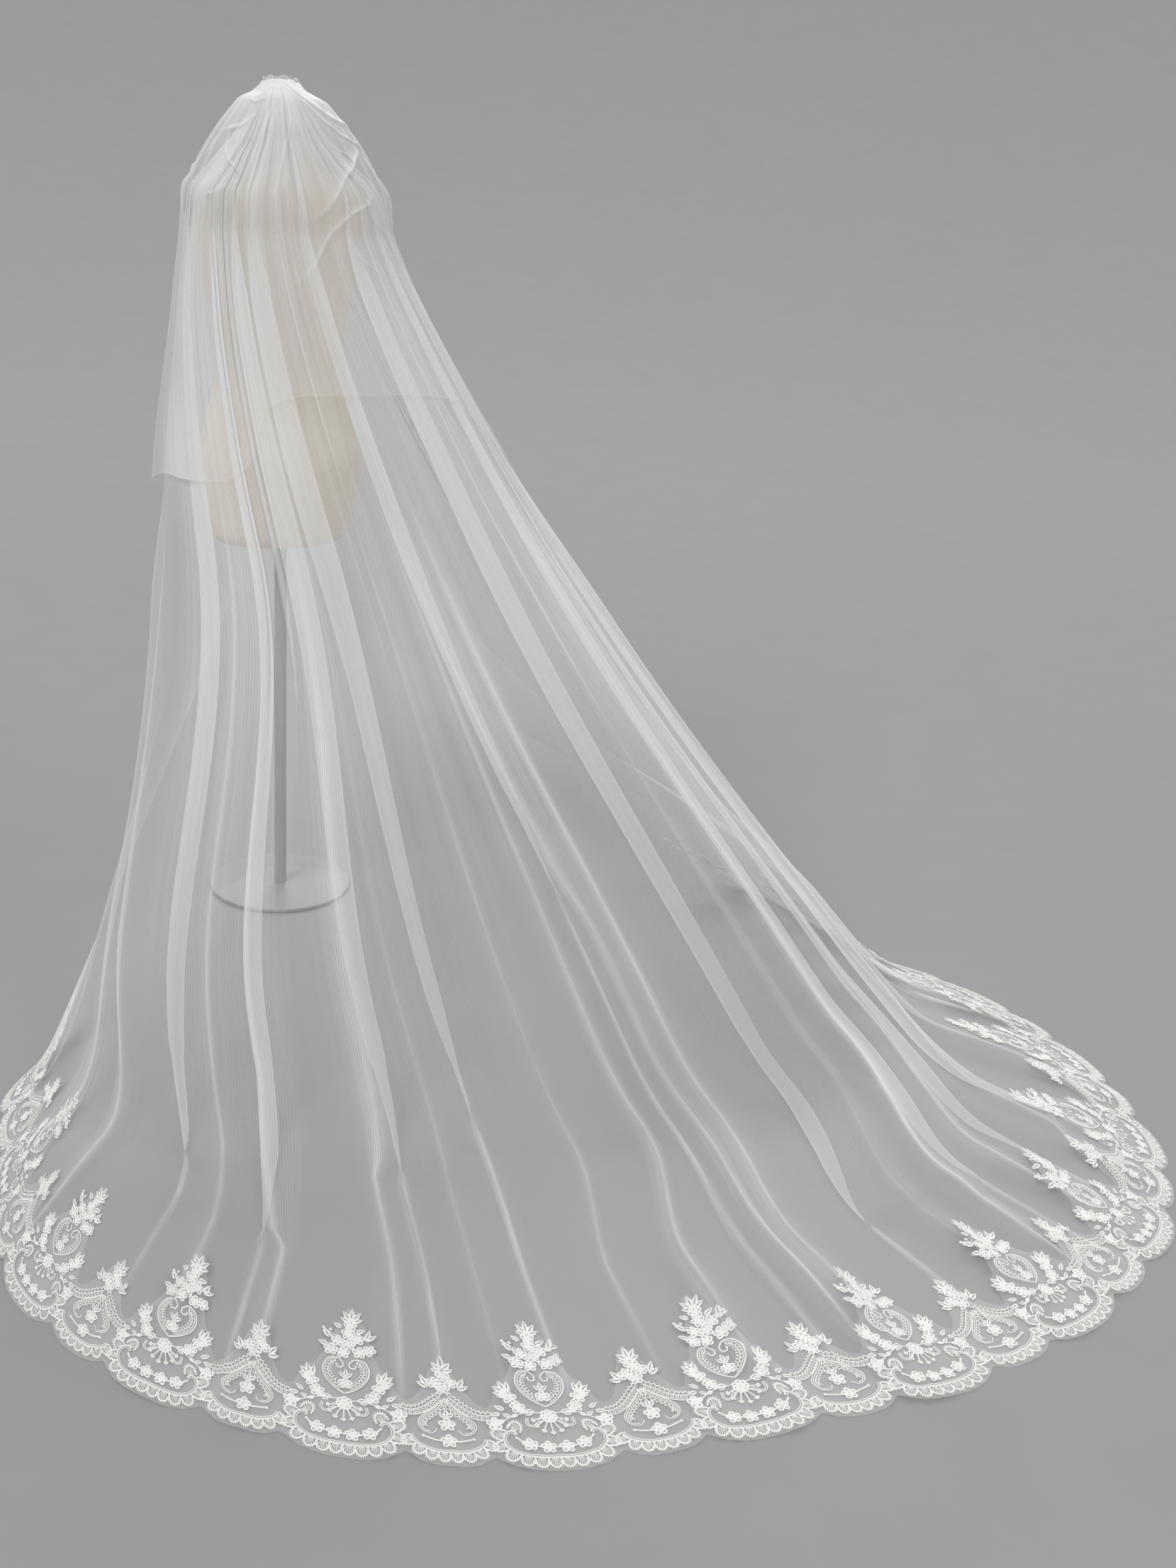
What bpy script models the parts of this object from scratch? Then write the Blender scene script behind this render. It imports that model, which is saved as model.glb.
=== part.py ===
"""A two-tier cathedral bridal veil gathered on a comb, worn by a limbless dress form on a round-based pole.

The wearer looks along +Y and the train lies behind, along -Y.  The origin is the middle of the base plate's
underside.  Lengths are in metres, azimuths in degrees from the train's centre line, positive to the wearer's
right.  Each tulle wall is a surface of two parameters: t runs across the cloth from the left front edge to the
right front edge, and v runs down it.
"""

import math

import bmesh
import bpy
import numpy as np
from mathutils import Vector

# Driving sizes
TULLE_WALL = 0.0012
LACE_WALL = 0.0012
SEAM_GAP = 0.0003
COMB_TOP_Z = 1.640
SHOULDER_Z = 1.38
FRONT_MEET_Z = 0.62
FLARE = 1.22
FRONT_FLARE = 1.1
BEND_Z = 0.10
BEND_RUN = 0.12
CONTACT_LEAD = 0.045
LACE_REPEATS = 15
NOTCH_PHASE = 0.297
NOTCH_DEPTH = 0.026
SMALL_SCALLOP_RISE = 0.007
LONG_GATHERS = 26
SHORT_GATHERS = 23

# The long tier's rings: height, half width, half depth behind and half depth in front
LONG_RINGS = {
    "height": (0.0, 0.62, 1.00, 1.20, 1.30, 1.40, 1.445, 1.49, 1.545, 1.595, 1.625, 1.64),
    "half_width": (0.300, 0.262, 0.236, 0.218, 0.207, 0.196, 0.188, 0.150, 0.100, 0.062, 0.042, 0.036),
    "behind": (0.240, 0.210, 0.184, 0.164, 0.152, 0.140, 0.128, 0.104, 0.072, 0.041, 0.021, 0.010),
    "in_front": (0.230, 0.206, 0.186, 0.166, 0.156, 0.142, 0.128, 0.100, 0.068, 0.039, 0.019, 0.010),
}

# How far the short tier stands off the long tier's rings, on each side, behind and in front
SHORT_STAND_OFF = {
    "height": (0.70, 1.20, 1.38, 1.44, 1.50, 1.55, 1.60, 1.628, 1.64),
    "sideways": (0.019, 0.019, 0.020, 0.022, 0.034, 0.044, 0.040, 0.013, 0.0021),
    "behind": (0.019, 0.019, 0.020, 0.022, 0.030, 0.034, 0.026, 0.009, 0.0021),
    "in_front": (0.019, 0.020, 0.030, 0.040, 0.056, 0.056, 0.042, 0.013, 0.0021),
}

# Where the hanging cloth meets the floor, and the hem's outer line
FLOOR_CONTACT = {
    "azimuth": (-55, -45, -36, -20, -7, 5, 15, 30, 46, 64.4),
    "radius": (0.82, 0.90, 0.96, 1.00, 1.04, 1.15, 1.27, 1.33, 1.27, 1.00),
}
HEM_LINE = {
    "azimuth": (-55, -53.2, -48.2, -42.7, -36, -29.9, -21.8, -13.9, -4.8, 4.9, 14.7, 20.1, 25.6, 29.8, 34.2, 38,
                43, 48, 64.4),
    "radius": (0.823, 0.974, 1.141, 1.365, 1.535, 1.645, 1.755, 1.83, 1.876, 1.95, 1.986, 1.978, 1.93, 1.862,
               1.77, 1.669, 1.50, 1.26, 1.02),
}

# Flat folds of three layers: place across the cloth, the same place where it hangs high, the folded band's
# width high, at knee height and at the floor as shares of the cloth, and the side that its top layer faces
FLAT_FOLDS = {
    "name": ("a", "b", "c", "d", "e", "g", "i", "r", "s"),
    "place": (0.180, 0.245, 0.325, 0.377, 0.482, 0.565, 0.685, 0.775, 0.860),
    "place_high": (0.282, 0.335, 0.368, 0.403, 0.482, 0.565, 0.640, 0.735, 0.830),
    "band_high": (0.022, 0.010, 0.019, 0.017, 0.014, 0.026, 0.022, 0.016, 0.016),
    "band_knee": (0.015, 0.012, 0.013, 0.008, 0.002, 0.016, 0.020, 0.012, 0.010),
    "band_floor": (0.004, 0.008, 0.010, 0.002, 0.000, 0.004, 0.010, 0.004, 0.000),
    "side": (1, -1, 1, 1, -1, 1, -1, 1, -1),
}
FOLD_CLOTH = 0.036
FOLD_LIFT = 0.0085
FOLD_SETTLE = 0.030

# Soft ridges: place across the cloth, half width, height hanging and height on the floor
SOFT_RIDGES = {
    "place": (0.045, 0.118, 0.150, 0.215, 0.285, 0.350, 0.420, 0.446, 0.500, 0.520, 0.598, 0.640, 0.730, 0.820,
              0.905, 0.955),
    "half_width": (0.016, 0.011, 0.009, 0.012, 0.013, 0.009, 0.013, 0.009, 0.009, 0.011, 0.012, 0.010, 0.013,
                   0.013, 0.014, 0.014),
    "hanging": (0.012, 0.014, 0.006, 0.008, 0.008, 0.006, 0.008, 0.010, 0.010, 0.012, 0.014, 0.010, 0.012,
                0.012, 0.012, 0.012),
    "floor": (0.008, 0.018, 0.014, 0.016, 0.014, 0.014, 0.012, 0.018, 0.020, 0.020, 0.022, 0.018, 0.024,
              0.022, 0.016, 0.010),
}

# The short tier's cut edge, by azimuth
SHORT_HEM = {
    "azimuth": (-252, -225, -180, -140, -110, -75, -58, -42, -20, 10, 42, 62, 85, 100, 108),
    "height": (0.790, 0.800, 0.830, 0.900, 0.950, 0.955, 0.985, 1.090, 1.110, 1.110, 1.095, 1.020, 0.900,
               0.800, 0.755),
}

# The dress form's rings: height, half width, half depth behind, half depth in front
FORM_RINGS = {
    "height": (0.768, 0.776, 0.800, 0.870, 0.935, 1.020, 1.120, 1.200, 1.290, 1.360, 1.410, 1.440, 1.463, 1.478,
               1.492, 1.505, 1.520, 1.539, 1.545),
    "half_width": (0.080, 0.128, 0.146, 0.161, 0.168, 0.152, 0.128, 0.134, 0.152, 0.164, 0.171, 0.168, 0.148,
                   0.112, 0.078, 0.058, 0.052, 0.050, 0.047),
    "behind": (0.060, 0.094, 0.108, 0.120, 0.122, 0.100, 0.084, 0.088, 0.100, 0.104, 0.100, 0.092, 0.080, 0.068,
               0.060, 0.054, 0.050, 0.048, 0.045),
    "in_front": (0.060, 0.092, 0.104, 0.112, 0.112, 0.100, 0.090, 0.108, 0.126, 0.108, 0.088, 0.078, 0.068,
                 0.060, 0.056, 0.053, 0.051, 0.050, 0.047),
}
FORM_SIDES = 32
CAP_RADIUS = 0.046
CAP_HEIGHT = 0.010
FINIAL_POST_RADIUS = 0.009
FINIAL_KNOB_RADIUS = 0.020
COMB_BAR = (0.064, 0.0088, 0.007)
COMB_TEETH = 12
COMB_TOOTH_LENGTH = 0.034
POLE_RADIUS = 0.0125
BASE_RADIUS = 0.150
BASE_THICKNESS = 0.008


def through(x, table, row, column):
    """A smooth curve through a table's points that never overshoots between them."""
    xs = np.asarray(table[row], float)
    ys = np.asarray(table[column], float)
    span = np.diff(xs)
    slope = np.diff(ys) / span
    tangent = np.zeros_like(ys)
    tangent[0] = slope[0]
    tangent[-1] = slope[-1]
    same_way = slope[:-1] * slope[1:] > 0
    total = np.where(same_way, slope[:-1] + slope[1:], 1)
    tangent[1:-1] = np.where(same_way, 2 * slope[:-1] * slope[1:] / total, 0)
    i = np.clip(np.searchsorted(xs, x) - 1, 0, len(xs) - 2)
    u = np.clip((x - xs[i]) / span[i], 0, 1)
    ends = ys[i] * (1 + 2 * u) * (1 - u) ** 2 + ys[i + 1] * u * u * (3 - 2 * u)
    return ends + span[i] * (tangent[i] * u * (1 - u) ** 2 + tangent[i + 1] * u * u * (u - 1))


def ease(low, high, x):
    """0 below low, 1 above high, and a smooth rise between."""
    u = np.clip((x - low) / (high - low), 0, 1)
    return u * u * (3 - 2 * u)


def ring(theta, half_width, behind, in_front):
    """A point of a ring that is half an ellipse behind and half an ellipse in front."""
    depth = np.where(np.cos(theta) > 0, behind, in_front)
    return np.stack([half_width * np.sin(theta), -depth * np.cos(theta)], -1)


def long_ring(theta, z):
    sides = (through(z, LONG_RINGS, "height", name) for name in ("half_width", "behind", "in_front"))
    return ring(theta, *sides)


def polar(azimuth, radius):
    angle = np.radians(azimuth)
    return np.stack([radius * np.sin(angle), -radius * np.cos(angle)], -1)


def hem_stations():
    """The hem's azimuth and running length, for finding a point by its share of the hem."""
    azimuth = np.linspace(HEM_LINE["azimuth"][0], HEM_LINE["azimuth"][-1], 400)
    line = polar(azimuth, through(azimuth, HEM_LINE, "azimuth", "radius"))
    steps = np.linalg.norm(np.diff(line, axis=0), axis=1)
    return azimuth, np.concatenate([[0], np.cumsum(steps)])


HEM_AZIMUTH, HEM_RUN = hem_stations()


def azimuth_at(t):
    return np.interp(np.clip(t, 0, 1) * HEM_RUN[-1], HEM_RUN, HEM_AZIMUTH)


def hem_point(t):
    azimuth = azimuth_at(t)
    return polar(azimuth, through(azimuth, HEM_LINE, "azimuth", "radius"))


def contact_point(t):
    t = np.clip(t, 0, 1)
    azimuth = azimuth_at(t + CONTACT_LEAD * np.sin(np.pi * t))
    return polar(azimuth, through(azimuth, FLOOR_CONTACT, "azimuth", "radius"))


def hanging(t, z):
    """The tent: rings round the form above, drawn out to the floor contact below.  The front edges stay
    together down to FRONT_MEET_Z and part from there to their corners on the floor."""
    theta = 2 * np.pi * (t - 0.5)
    reach = contact_point(t) - long_ring(theta, 0 * z)
    behind = np.clip((SHOULDER_Z - z) / SHOULDER_Z, 0, 1) ** FLARE
    in_front = np.clip((FRONT_MEET_Z - z) / FRONT_MEET_Z, 0, 1) ** FRONT_FLARE
    front_share = ease(112, 180, np.abs(np.degrees(theta)))
    drawn = (1 - front_share) * behind + front_share * in_front
    return long_ring(theta, z) + reach * drawn[..., None]


def lift_to(plan, z):
    return np.concatenate([plan, np.broadcast_to(z, plan.shape[:-1])[..., None]], -1)


def smooth_cloth(t, v):
    """The long tier without its folds.  v is 0 to 1 down the drop, 1 to 2 round the bend at the floor and
    2 to 3 along the floor to the hem."""
    rest_z = TULLE_WALL / 2
    z = COMB_TOP_Z + (BEND_Z - COMB_TOP_Z) * np.clip(v, 0, 1)
    drop = lift_to(hanging(t, z), z)
    contact = contact_point(t)
    out = hem_point(t) - contact
    run = np.linalg.norm(out, axis=-1)
    turn = np.minimum(BEND_RUN, 0.5 * run)
    settled = lift_to(contact + out / run[..., None] * turn[..., None], rest_z)
    corner = lift_to(contact, rest_z)
    u = np.clip(v - 1, 0, 1)[..., None]
    bend = drop * (1 - u) ** 2 + corner * 2 * u * (1 - u) + settled * u * u
    w = np.clip(v - 2, 0, 1)[..., None]
    flat = settled * (1 - w) + lift_to(hem_point(t), rest_z) * w
    return np.where((v < 1)[..., None], drop, np.where((v < 2)[..., None], bend, flat))


def lengths_below(t):
    """Cloth between the hem and the bend, in the bend, and metres of cloth per metre of drop above it."""
    contact = contact_point(t)
    run = np.linalg.norm(hem_point(t) - contact, axis=-1)
    turn = np.minimum(BEND_RUN, 0.5 * run)
    start = hanging(t, np.full_like(t, BEND_Z))
    slant = np.hypot(np.linalg.norm(start - contact, axis=-1), BEND_Z)
    above = hanging(t, np.full_like(t, 2 * BEND_Z))
    steep = np.hypot(np.linalg.norm(above - start, axis=-1), BEND_Z) / BEND_Z
    return run - turn, slant + turn, steep


def hem_distance(t, v):
    flat, bend, steep = lengths_below(t)
    z_above = (1 - np.clip(v, 0, 1)) * (COMB_TOP_Z - BEND_Z)
    on_floor = np.clip(3 - v, 0, 1) * flat
    in_bend = np.clip(2 - v, 0, 1) * bend
    return on_floor + in_bend + z_above * steep


def v_at_hem_distance(t, distance):
    flat, bend, steep = lengths_below(t)
    on_floor = 3 - distance / flat
    in_bend = 2 - (distance - flat) / bend
    above = 1 - (distance - flat - bend) / steep / (COMB_TOP_Z - BEND_Z)
    return np.where(distance < flat, on_floor, np.where(distance < flat + bend, in_bend, above))


def fold_place(t, z):
    """Slides the cloth sideways with height, so each fold follows its own line from the comb to the hem."""
    low = np.array((0.0, *FLAT_FOLDS["place"], 1.0))
    high = np.array((0.0, *FLAT_FOLDS["place_high"], 1.0))
    share = ease(0.15, 0.85, z)
    lines = {"low": low, "high": high}
    return t + (through(t, lines, "low", "high") - t) * share


def folded(t, v):
    """Where the cloth at t lies once folded, and how far its folds and ridges stand off the smooth cloth."""
    z = COMB_TOP_Z + (BEND_Z - COMB_TOP_Z) * np.clip(v, 0, 1)
    to_hem = hem_distance(t, v)
    opened = ease(1.28, 0.98, z) * ease(0.30, 0.48, to_hem)
    placed = fold_place(t, z)
    lift = np.zeros_like(t)
    bands = zip(*(FLAT_FOLDS[name] for name in ("place", "band_high", "band_knee", "band_floor", "side")))
    for place, high, knee, floor, side in bands:
        band = {"height": (0.0, 0.30, 0.85), "width": (floor, knee, high)}
        width = through(np.where(v > 1, 0, z), band, "height", "width")
        cloth = fold_place(place + FOLD_CLOTH / 2, z) - fold_place(place - FOLD_CLOTH / 2, z)
        tau = np.clip((t - place) / FOLD_CLOTH + 0.5, 0, 1)
        shut = ease(0.0, 0.004, width)
        placed = placed + opened * shut * (0.25 * cloth + width / 2) * np.sin(2 * np.pi * tau)
        rise = tau if side > 0 else 1 - tau
        past = (t - place) * side - FOLD_CLOTH / 2
        lift = lift + FOLD_LIFT * opened * shut * rise * (1 - ease(0, FOLD_SETTLE, past))
    ridges = zip(*(SOFT_RIDGES[name] for name in ("place", "half_width", "hanging", "floor")))
    on_floor = ease(0.6, 0.0, z)
    near_hem = 0.15 + 0.85 * ease(0.0, 0.30, to_hem)
    for place, half_width, high, low in ridges:
        crest = np.exp(-((t - place) / half_width) ** 2)
        lift = lift + crest * near_hem * ease(0.98, 0.70, z) * (high + (low - high) * on_floor)
    return placed, lift


def gather_wave(t, z, count):
    """Small gathers that start at the comb, widen downwards and die out over the shoulders."""
    depth = {"height": (1.0, 1.15, 1.38, 1.50, 1.60, 1.64), "wave": (0.0, 0.001, 0.003, 0.0036, 0.0016, 0.0)}
    return through(z, depth, "height", "wave") * np.sin(2 * np.pi * count * t)


def outward(surface, t, v):
    """The smooth surface's outward normal, from its two directions."""
    small = 1e-4
    across = surface(t + small, v) - surface(t - small, v)
    down = surface(t, v + small) - surface(t, v - small)
    normal = np.cross(down, across)
    return normal / np.maximum(np.linalg.norm(normal, axis=-1), 1e-12)[..., None]


def long_tier_points(t, v):
    z = COMB_TOP_Z + (BEND_Z - COMB_TOP_Z) * np.clip(v, 0, 1)
    placed, lift = folded(t, v)
    placed = np.clip(placed, 0.001, 0.999)
    stand = lift + gather_wave(t, z, LONG_GATHERS) * (v < 1)
    points = smooth_cloth(placed, v) + outward(smooth_cloth, placed, np.clip(v, 1e-3, 2.999)) * stand[..., None]
    points[..., 2] = np.maximum(points[..., 2], TULLE_WALL / 2)
    return points


def scallop(t):
    """How far the cut edge stands in from the hem's outer line: a wide scallop under each tall motif, a small
    one under each small motif, and a notch between two scallops."""
    phase = np.abs((t * LACE_REPEATS) % 1 - 0.5)
    wide = NOTCH_DEPTH * (phase / NOTCH_PHASE) ** 3
    small_share = (0.5 - phase) / (0.5 - NOTCH_PHASE)
    small = SMALL_SCALLOP_RISE + (NOTCH_DEPTH - SMALL_SCALLOP_RISE) * small_share ** 3
    return np.where(phase < NOTCH_PHASE, wide, small)


def lace_height(t):
    """The lace border's inner line: a tall motif in each repeat and a small one between two tall ones."""
    phase = np.abs((t * LACE_REPEATS) % 1 - 0.5)
    tall = 0.5 + 0.5 * np.cos(np.pi * np.clip(phase / 0.28, 0, 1))
    small = 0.5 + 0.5 * np.cos(np.pi * np.clip((0.5 - phase) / 0.16, 0, 1))
    return 0.110 + 0.185 * tall + 0.105 * small


def cloth_columns():
    """Eight columns to a lace repeat, with one in each notch and each peak, and closer ones in each flat fold."""
    half_repeat = np.array((0.10, 0.5 - NOTCH_PHASE, 0.35))
    repeat = np.concatenate([[0], half_repeat, [0.5], (1 - half_repeat)[::-1]])
    even = ((np.arange(LACE_REPEATS)[:, None] + repeat) / LACE_REPEATS).ravel()
    columns = [even[(even > 0.010) & (even < 0.990)], [0.010, 0.990]]
    through_fold = np.array((0, 0.16, 0.30, 0.42, 0.58, 0.70, 0.84, 1))
    for place in FLAT_FOLDS["place"]:
        low = place - FOLD_CLOTH / 2
        high = place + FOLD_CLOTH / 2
        columns = [np.array(c)[(np.array(c) < low - 0.002) | (np.array(c) > high + 0.002)] for c in columns]
        columns.append(low + (high - low) * through_fold)
    return np.sort(np.concatenate(columns))


HANGING_ROWS = (1.640, 1.605, 1.545, 1.450, 1.350, 1.180, 0.850, 0.480, 0.240, 0.100)
ROW_ABOVE_LACE = (0.56, 0.52, 0.48, 0.44, 0.40, 0.36, 0.32, 0.26, 0.20, 0.14, 0.10, 0.06, 0.03)
LACE_ROWS = (1.0, 0.5, 0.0)


def long_tier_rows(t):
    """One v for each row and column: heights down the drop, the bend, the floor, and the lace's own rows.
    Each row keeps above the lace by its own least distance, so rows never cross at the corners."""
    flat, bend, steep = lengths_below(t)
    lace_top = lace_height(t)
    edge = scallop(t)
    distances = [flat + bend + (z - BEND_Z) * steep for z in HANGING_ROWS]
    distances += [flat + 0.5 * bend, flat, 0.5 * (flat + lace_top)]
    distances = [np.maximum(d, lace_top + least) for d, least in zip(distances, ROW_ABOVE_LACE)]
    distances += [edge + (lace_top - edge) * share for share in LACE_ROWS]
    return np.array([v_at_hem_distance(t, distance) for distance in distances])


def short_tier_surface(azimuth, v):
    """The short tier: rings that stand off the long tier's, from the comb down to its own cut edge."""
    theta = np.radians(azimuth)
    bottom = through(azimuth, SHORT_HEM, "azimuth", "height")
    z = COMB_TOP_Z - (COMB_TOP_Z - bottom) * v
    t = (theta / (2 * np.pi) + 0.5) % 1
    base = hanging(t, z)
    names = ("sideways", "behind", "in_front")
    off = (through(z, SHORT_STAND_OFF, "height", name) for name in names)
    return lift_to(base + ring(theta, *off), z)


def short_tier_points(azimuth, v):
    points = short_tier_surface(azimuth, v)
    z = points[..., 2]
    t = (azimuth / 360 + 0.5) % 1
    flute = 0.5 + 0.5 * np.sin(np.radians(azimuth) * 11 + 1.4 * np.sin(np.radians(azimuth) * 2))
    swell = 0.011 * flute * ease(0.35, 1.0, v) + gather_wave(t, z, SHORT_GATHERS)
    smooth = outward(short_tier_surface, azimuth, np.clip(v, 1e-3, 0.999))
    smooth[..., 2] = 0
    return points + smooth * swell[..., None]


def new_material(name, color, roughness, alpha=1.0, metallic=0.0):
    material = bpy.data.materials.new(name)
    material.use_nodes = True
    shader = material.node_tree.nodes["Principled BSDF"]
    shader.inputs["Base Color"].default_value = (*color, 1)
    shader.inputs["Roughness"].default_value = roughness
    shader.inputs["Metallic"].default_value = metallic
    shader.inputs["Alpha"].default_value = alpha
    return material


def add_object(name, mesh, material, collection):
    thing = bpy.data.objects.new(name, mesh)
    mesh.materials.append(material)
    collection.objects.link(thing)
    return thing


def add_wall(name, points, normals, low, high, material, collection):
    """A closed wall over a grid of points: its inner face stands low off them and its outer face high.  All
    cells are cut along the same diagonal, so two walls made from the same points run side by side."""
    rows, columns = points.shape[:2]
    inner = np.arange(rows * columns).reshape(rows, columns)
    outer = inner + rows * columns
    faces = []
    for index, turned in ((outer, False), (inner, True)):
        upper = np.stack([index[:-1, :-1], index[1:, :-1], index[1:, 1:]], -1).reshape(-1, 3)
        lower = np.stack([index[:-1, :-1], index[1:, 1:], index[:-1, 1:]], -1).reshape(-1, 3)
        both = np.concatenate([upper, lower])
        faces.append(both[:, ::-1] if turned else both)
    round_rim = np.concatenate([np.arange(columns), np.arange(1, rows) * columns + columns - 1,
                                (rows - 1) * columns + np.arange(columns - 2, -1, -1),
                                np.arange(rows - 2, 0, -1) * columns])
    here = round_rim
    after = np.roll(round_rim, -1)
    raised = rows * columns
    faces.append(np.stack([here, here + raised, after + raised], -1))
    faces.append(np.stack([here, after + raised, after], -1))
    layers = np.concatenate([(points + normals * low).reshape(-1, 3), (points + normals * high).reshape(-1, 3)])
    mesh = bpy.data.meshes.new(name)
    mesh.from_pydata(layers.tolist(), [], np.concatenate(faces).tolist())
    mesh.shade_smooth()
    return add_object(name, mesh, material, collection)


def grid_normals(points):
    """Outward normals at a grid's points: the mean of the faces round each, larger faces counting for more."""
    down = points[1:, :] - points[:-1, :]
    across = points[:, 1:] - points[:, :-1]
    slant = points[1:, 1:] - points[:-1, :-1]
    upper = np.cross(down[:, :-1], slant)
    lower = np.cross(slant, across[:-1])
    total = np.zeros_like(points)
    total[:-1, :-1] += upper + lower
    total[1:, :-1] += upper
    total[:-1, 1:] += lower
    total[1:, 1:] += upper + lower
    return total / np.linalg.norm(total, axis=-1)[..., None]


def add_turned(name, profile, sides, material, collection):
    """A closed turned solid from a profile of (radius, height) pairs that runs down its outer side."""
    mesh = bpy.data.meshes.new(name)
    points = [(radius, 0, height) for radius, height in profile]
    mesh.from_pydata(points, [(i, i + 1) for i in range(len(points) - 1)], [])
    thing = add_object(name, mesh, material, collection)
    turn = thing.modifiers.new("turn", "SCREW")
    turn.steps = sides
    turn.render_steps = sides
    turn.use_merge_vertices = True
    turn.merge_threshold = 0.0001
    return thing


def add_form(material, collection):
    """The dress form: lofted rings from the rounded bottom to the neck."""
    height = np.array(FORM_RINGS["height"])
    theta = np.linspace(0, 2 * np.pi, FORM_SIDES, endpoint=False)
    names = ("half_width", "behind", "in_front")
    columns = [np.array(FORM_RINGS[name])[:, None] for name in names]
    plan = ring(theta[None, :], *columns)
    points = lift_to(plan, height[:, None])
    rings, sides = points.shape[:2]
    mesh = bpy.data.meshes.new("dress_form")
    body = bmesh.new()
    corners = [[body.verts.new(p) for p in row] for row in points]
    for low, high in zip(corners, corners[1:]):
        for i in range(sides):
            j = (i + 1) % sides
            body.faces.new((low[i], low[j], high[j], high[i]))
    body.faces.new(corners[0][::-1])
    body.faces.new(corners[-1])
    bmesh.ops.recalc_face_normals(body, faces=body.faces)
    body.to_mesh(mesh)
    body.free()
    mesh.shade_smooth()
    return add_object("dress_form", mesh, material, collection)


def add_comb(material, collection, bottom_z):
    """The comb: a flat bar with teeth, one outline extruded to the bar's depth."""
    length, depth, tall = COMB_BAR
    pitch = length / COMB_TEETH
    tooth = pitch * 0.42
    outline = [(-length / 2, tall), (-length / 2, -COMB_TOOTH_LENGTH)]
    for i in range(COMB_TEETH):
        left = -length / 2 + i * (length - tooth) / (COMB_TEETH - 1)
        if i:
            outline += [(left, 0), (left, -COMB_TOOTH_LENGTH)]
        outline += [(left + tooth, -COMB_TOOTH_LENGTH)]
        if i < COMB_TEETH - 1:
            outline += [(left + tooth, 0)]
    outline += [(length / 2, tall)]
    body = bmesh.new()
    front = [body.verts.new((x, -depth / 2, bottom_z + z)) for x, z in outline]
    face = body.faces.new(front)
    pushed = bmesh.ops.extrude_face_region(body, geom=[face])
    moved = [item for item in pushed["geom"] if isinstance(item, bmesh.types.BMVert)]
    bmesh.ops.translate(body, verts=moved, vec=Vector((0, depth, 0)))
    bmesh.ops.triangulate(body, faces=body.faces)
    bmesh.ops.recalc_face_normals(body, faces=body.faces)
    mesh = bpy.data.meshes.new("comb")
    body.to_mesh(mesh)
    body.free()
    return add_object("comb", mesh, material, collection)


def disc_profile(radius, low, high, edge):
    """A round plate with a small chamfer at its top and bottom rims."""
    return [(0, high), (radius - edge, high), (radius, high - edge), (radius, low + edge), (radius - edge, low),
            (0, low)]


def main():
    for thing in list(bpy.data.objects):
        bpy.data.objects.remove(thing, do_unlink=True)
    collection = bpy.data.collections.new("bridal_veil_on_dress_form")
    bpy.context.scene.collection.children.link(collection)

    tulle = new_material("tulle", (0.93, 0.93, 0.92), 0.6, 0.35)
    lace = new_material("lace", (0.93, 0.92, 0.89), 0.7)
    cotton = new_material("form_cotton", (0.86, 0.76, 0.62), 0.85)
    comb_plastic = new_material("comb_plastic", (0.92, 0.91, 0.87), 0.25, 0.6)
    stand = new_material("stand_paint", (0.78, 0.78, 0.77), 0.4)

    # The long tier and its lace border share their columns and rows
    columns = cloth_columns()
    rows = long_tier_rows(columns)
    t = np.broadcast_to(columns, rows.shape)
    tulle_points = long_tier_points(t, rows)
    normals = grid_normals(tulle_points)
    half = TULLE_WALL / 2
    add_wall("long_tier", tulle_points, normals, -half, half, tulle, collection)
    lace_low = half + SEAM_GAP
    bordered = slice(-len(LACE_ROWS), None)
    add_wall("lace_border", tulle_points[bordered], normals[bordered], lace_low, lace_low + LACE_WALL, lace,
             collection)

    # The short tier, from its left front edge round the back to its right front edge
    azimuth = np.linspace(SHORT_HEM["azimuth"][0] + 2, SHORT_HEM["azimuth"][-1], 4 * SHORT_GATHERS)
    down = np.array((0, 0.035, 0.08, 0.15, 0.25, 0.36, 0.48, 0.70, 1.0))
    azimuth, down = np.meshgrid(azimuth, down)
    points = short_tier_points(azimuth, down)
    add_wall("short_tier", points, grid_normals(points), -half, half, tulle, collection)

    # The form, its neck cap and the finial that holds the comb at head height
    add_form(cotton, collection)
    cap_low = FORM_RINGS["height"][-1] + SEAM_GAP
    cap_high = cap_low + CAP_HEIGHT
    add_turned("neck_cap", disc_profile(CAP_RADIUS, cap_low, cap_high, 0.002), 32, stand, collection)
    teeth_low = COMB_TOP_Z - 0.002 - COMB_BAR[2] - COMB_TOOTH_LENGTH
    knob_top = teeth_low - SEAM_GAP
    knob_middle = knob_top - FINIAL_KNOB_RADIUS
    post_low = cap_high + SEAM_GAP
    arc = [math.radians(90 - 15 * i) for i in range(10)]
    knob = [(FINIAL_KNOB_RADIUS * math.cos(a), knob_middle + FINIAL_KNOB_RADIUS * math.sin(a)) for a in arc]
    knob[0] = (0, knob_top)
    profile = knob + [(FINIAL_POST_RADIUS, post_low), (0, post_low)]
    add_turned("finial", profile, 24, stand, collection)
    add_comb(comb_plastic, collection, COMB_TOP_Z - 0.002 - COMB_BAR[2])

    # The pole and the base plate, whose underside is the part's flat foot
    pole_low = BASE_THICKNESS + SEAM_GAP
    pole_high = FORM_RINGS["height"][0] - SEAM_GAP
    add_turned("pole", disc_profile(POLE_RADIUS, pole_low, pole_high, 0.001), 24, stand, collection)
    add_turned("base_plate", disc_profile(BASE_RADIUS, 0, BASE_THICKNESS, 0.002), 48, stand, collection)


main()
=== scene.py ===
import math
import bpy
import numpy as np
from mathutils import Matrix, Vector


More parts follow.
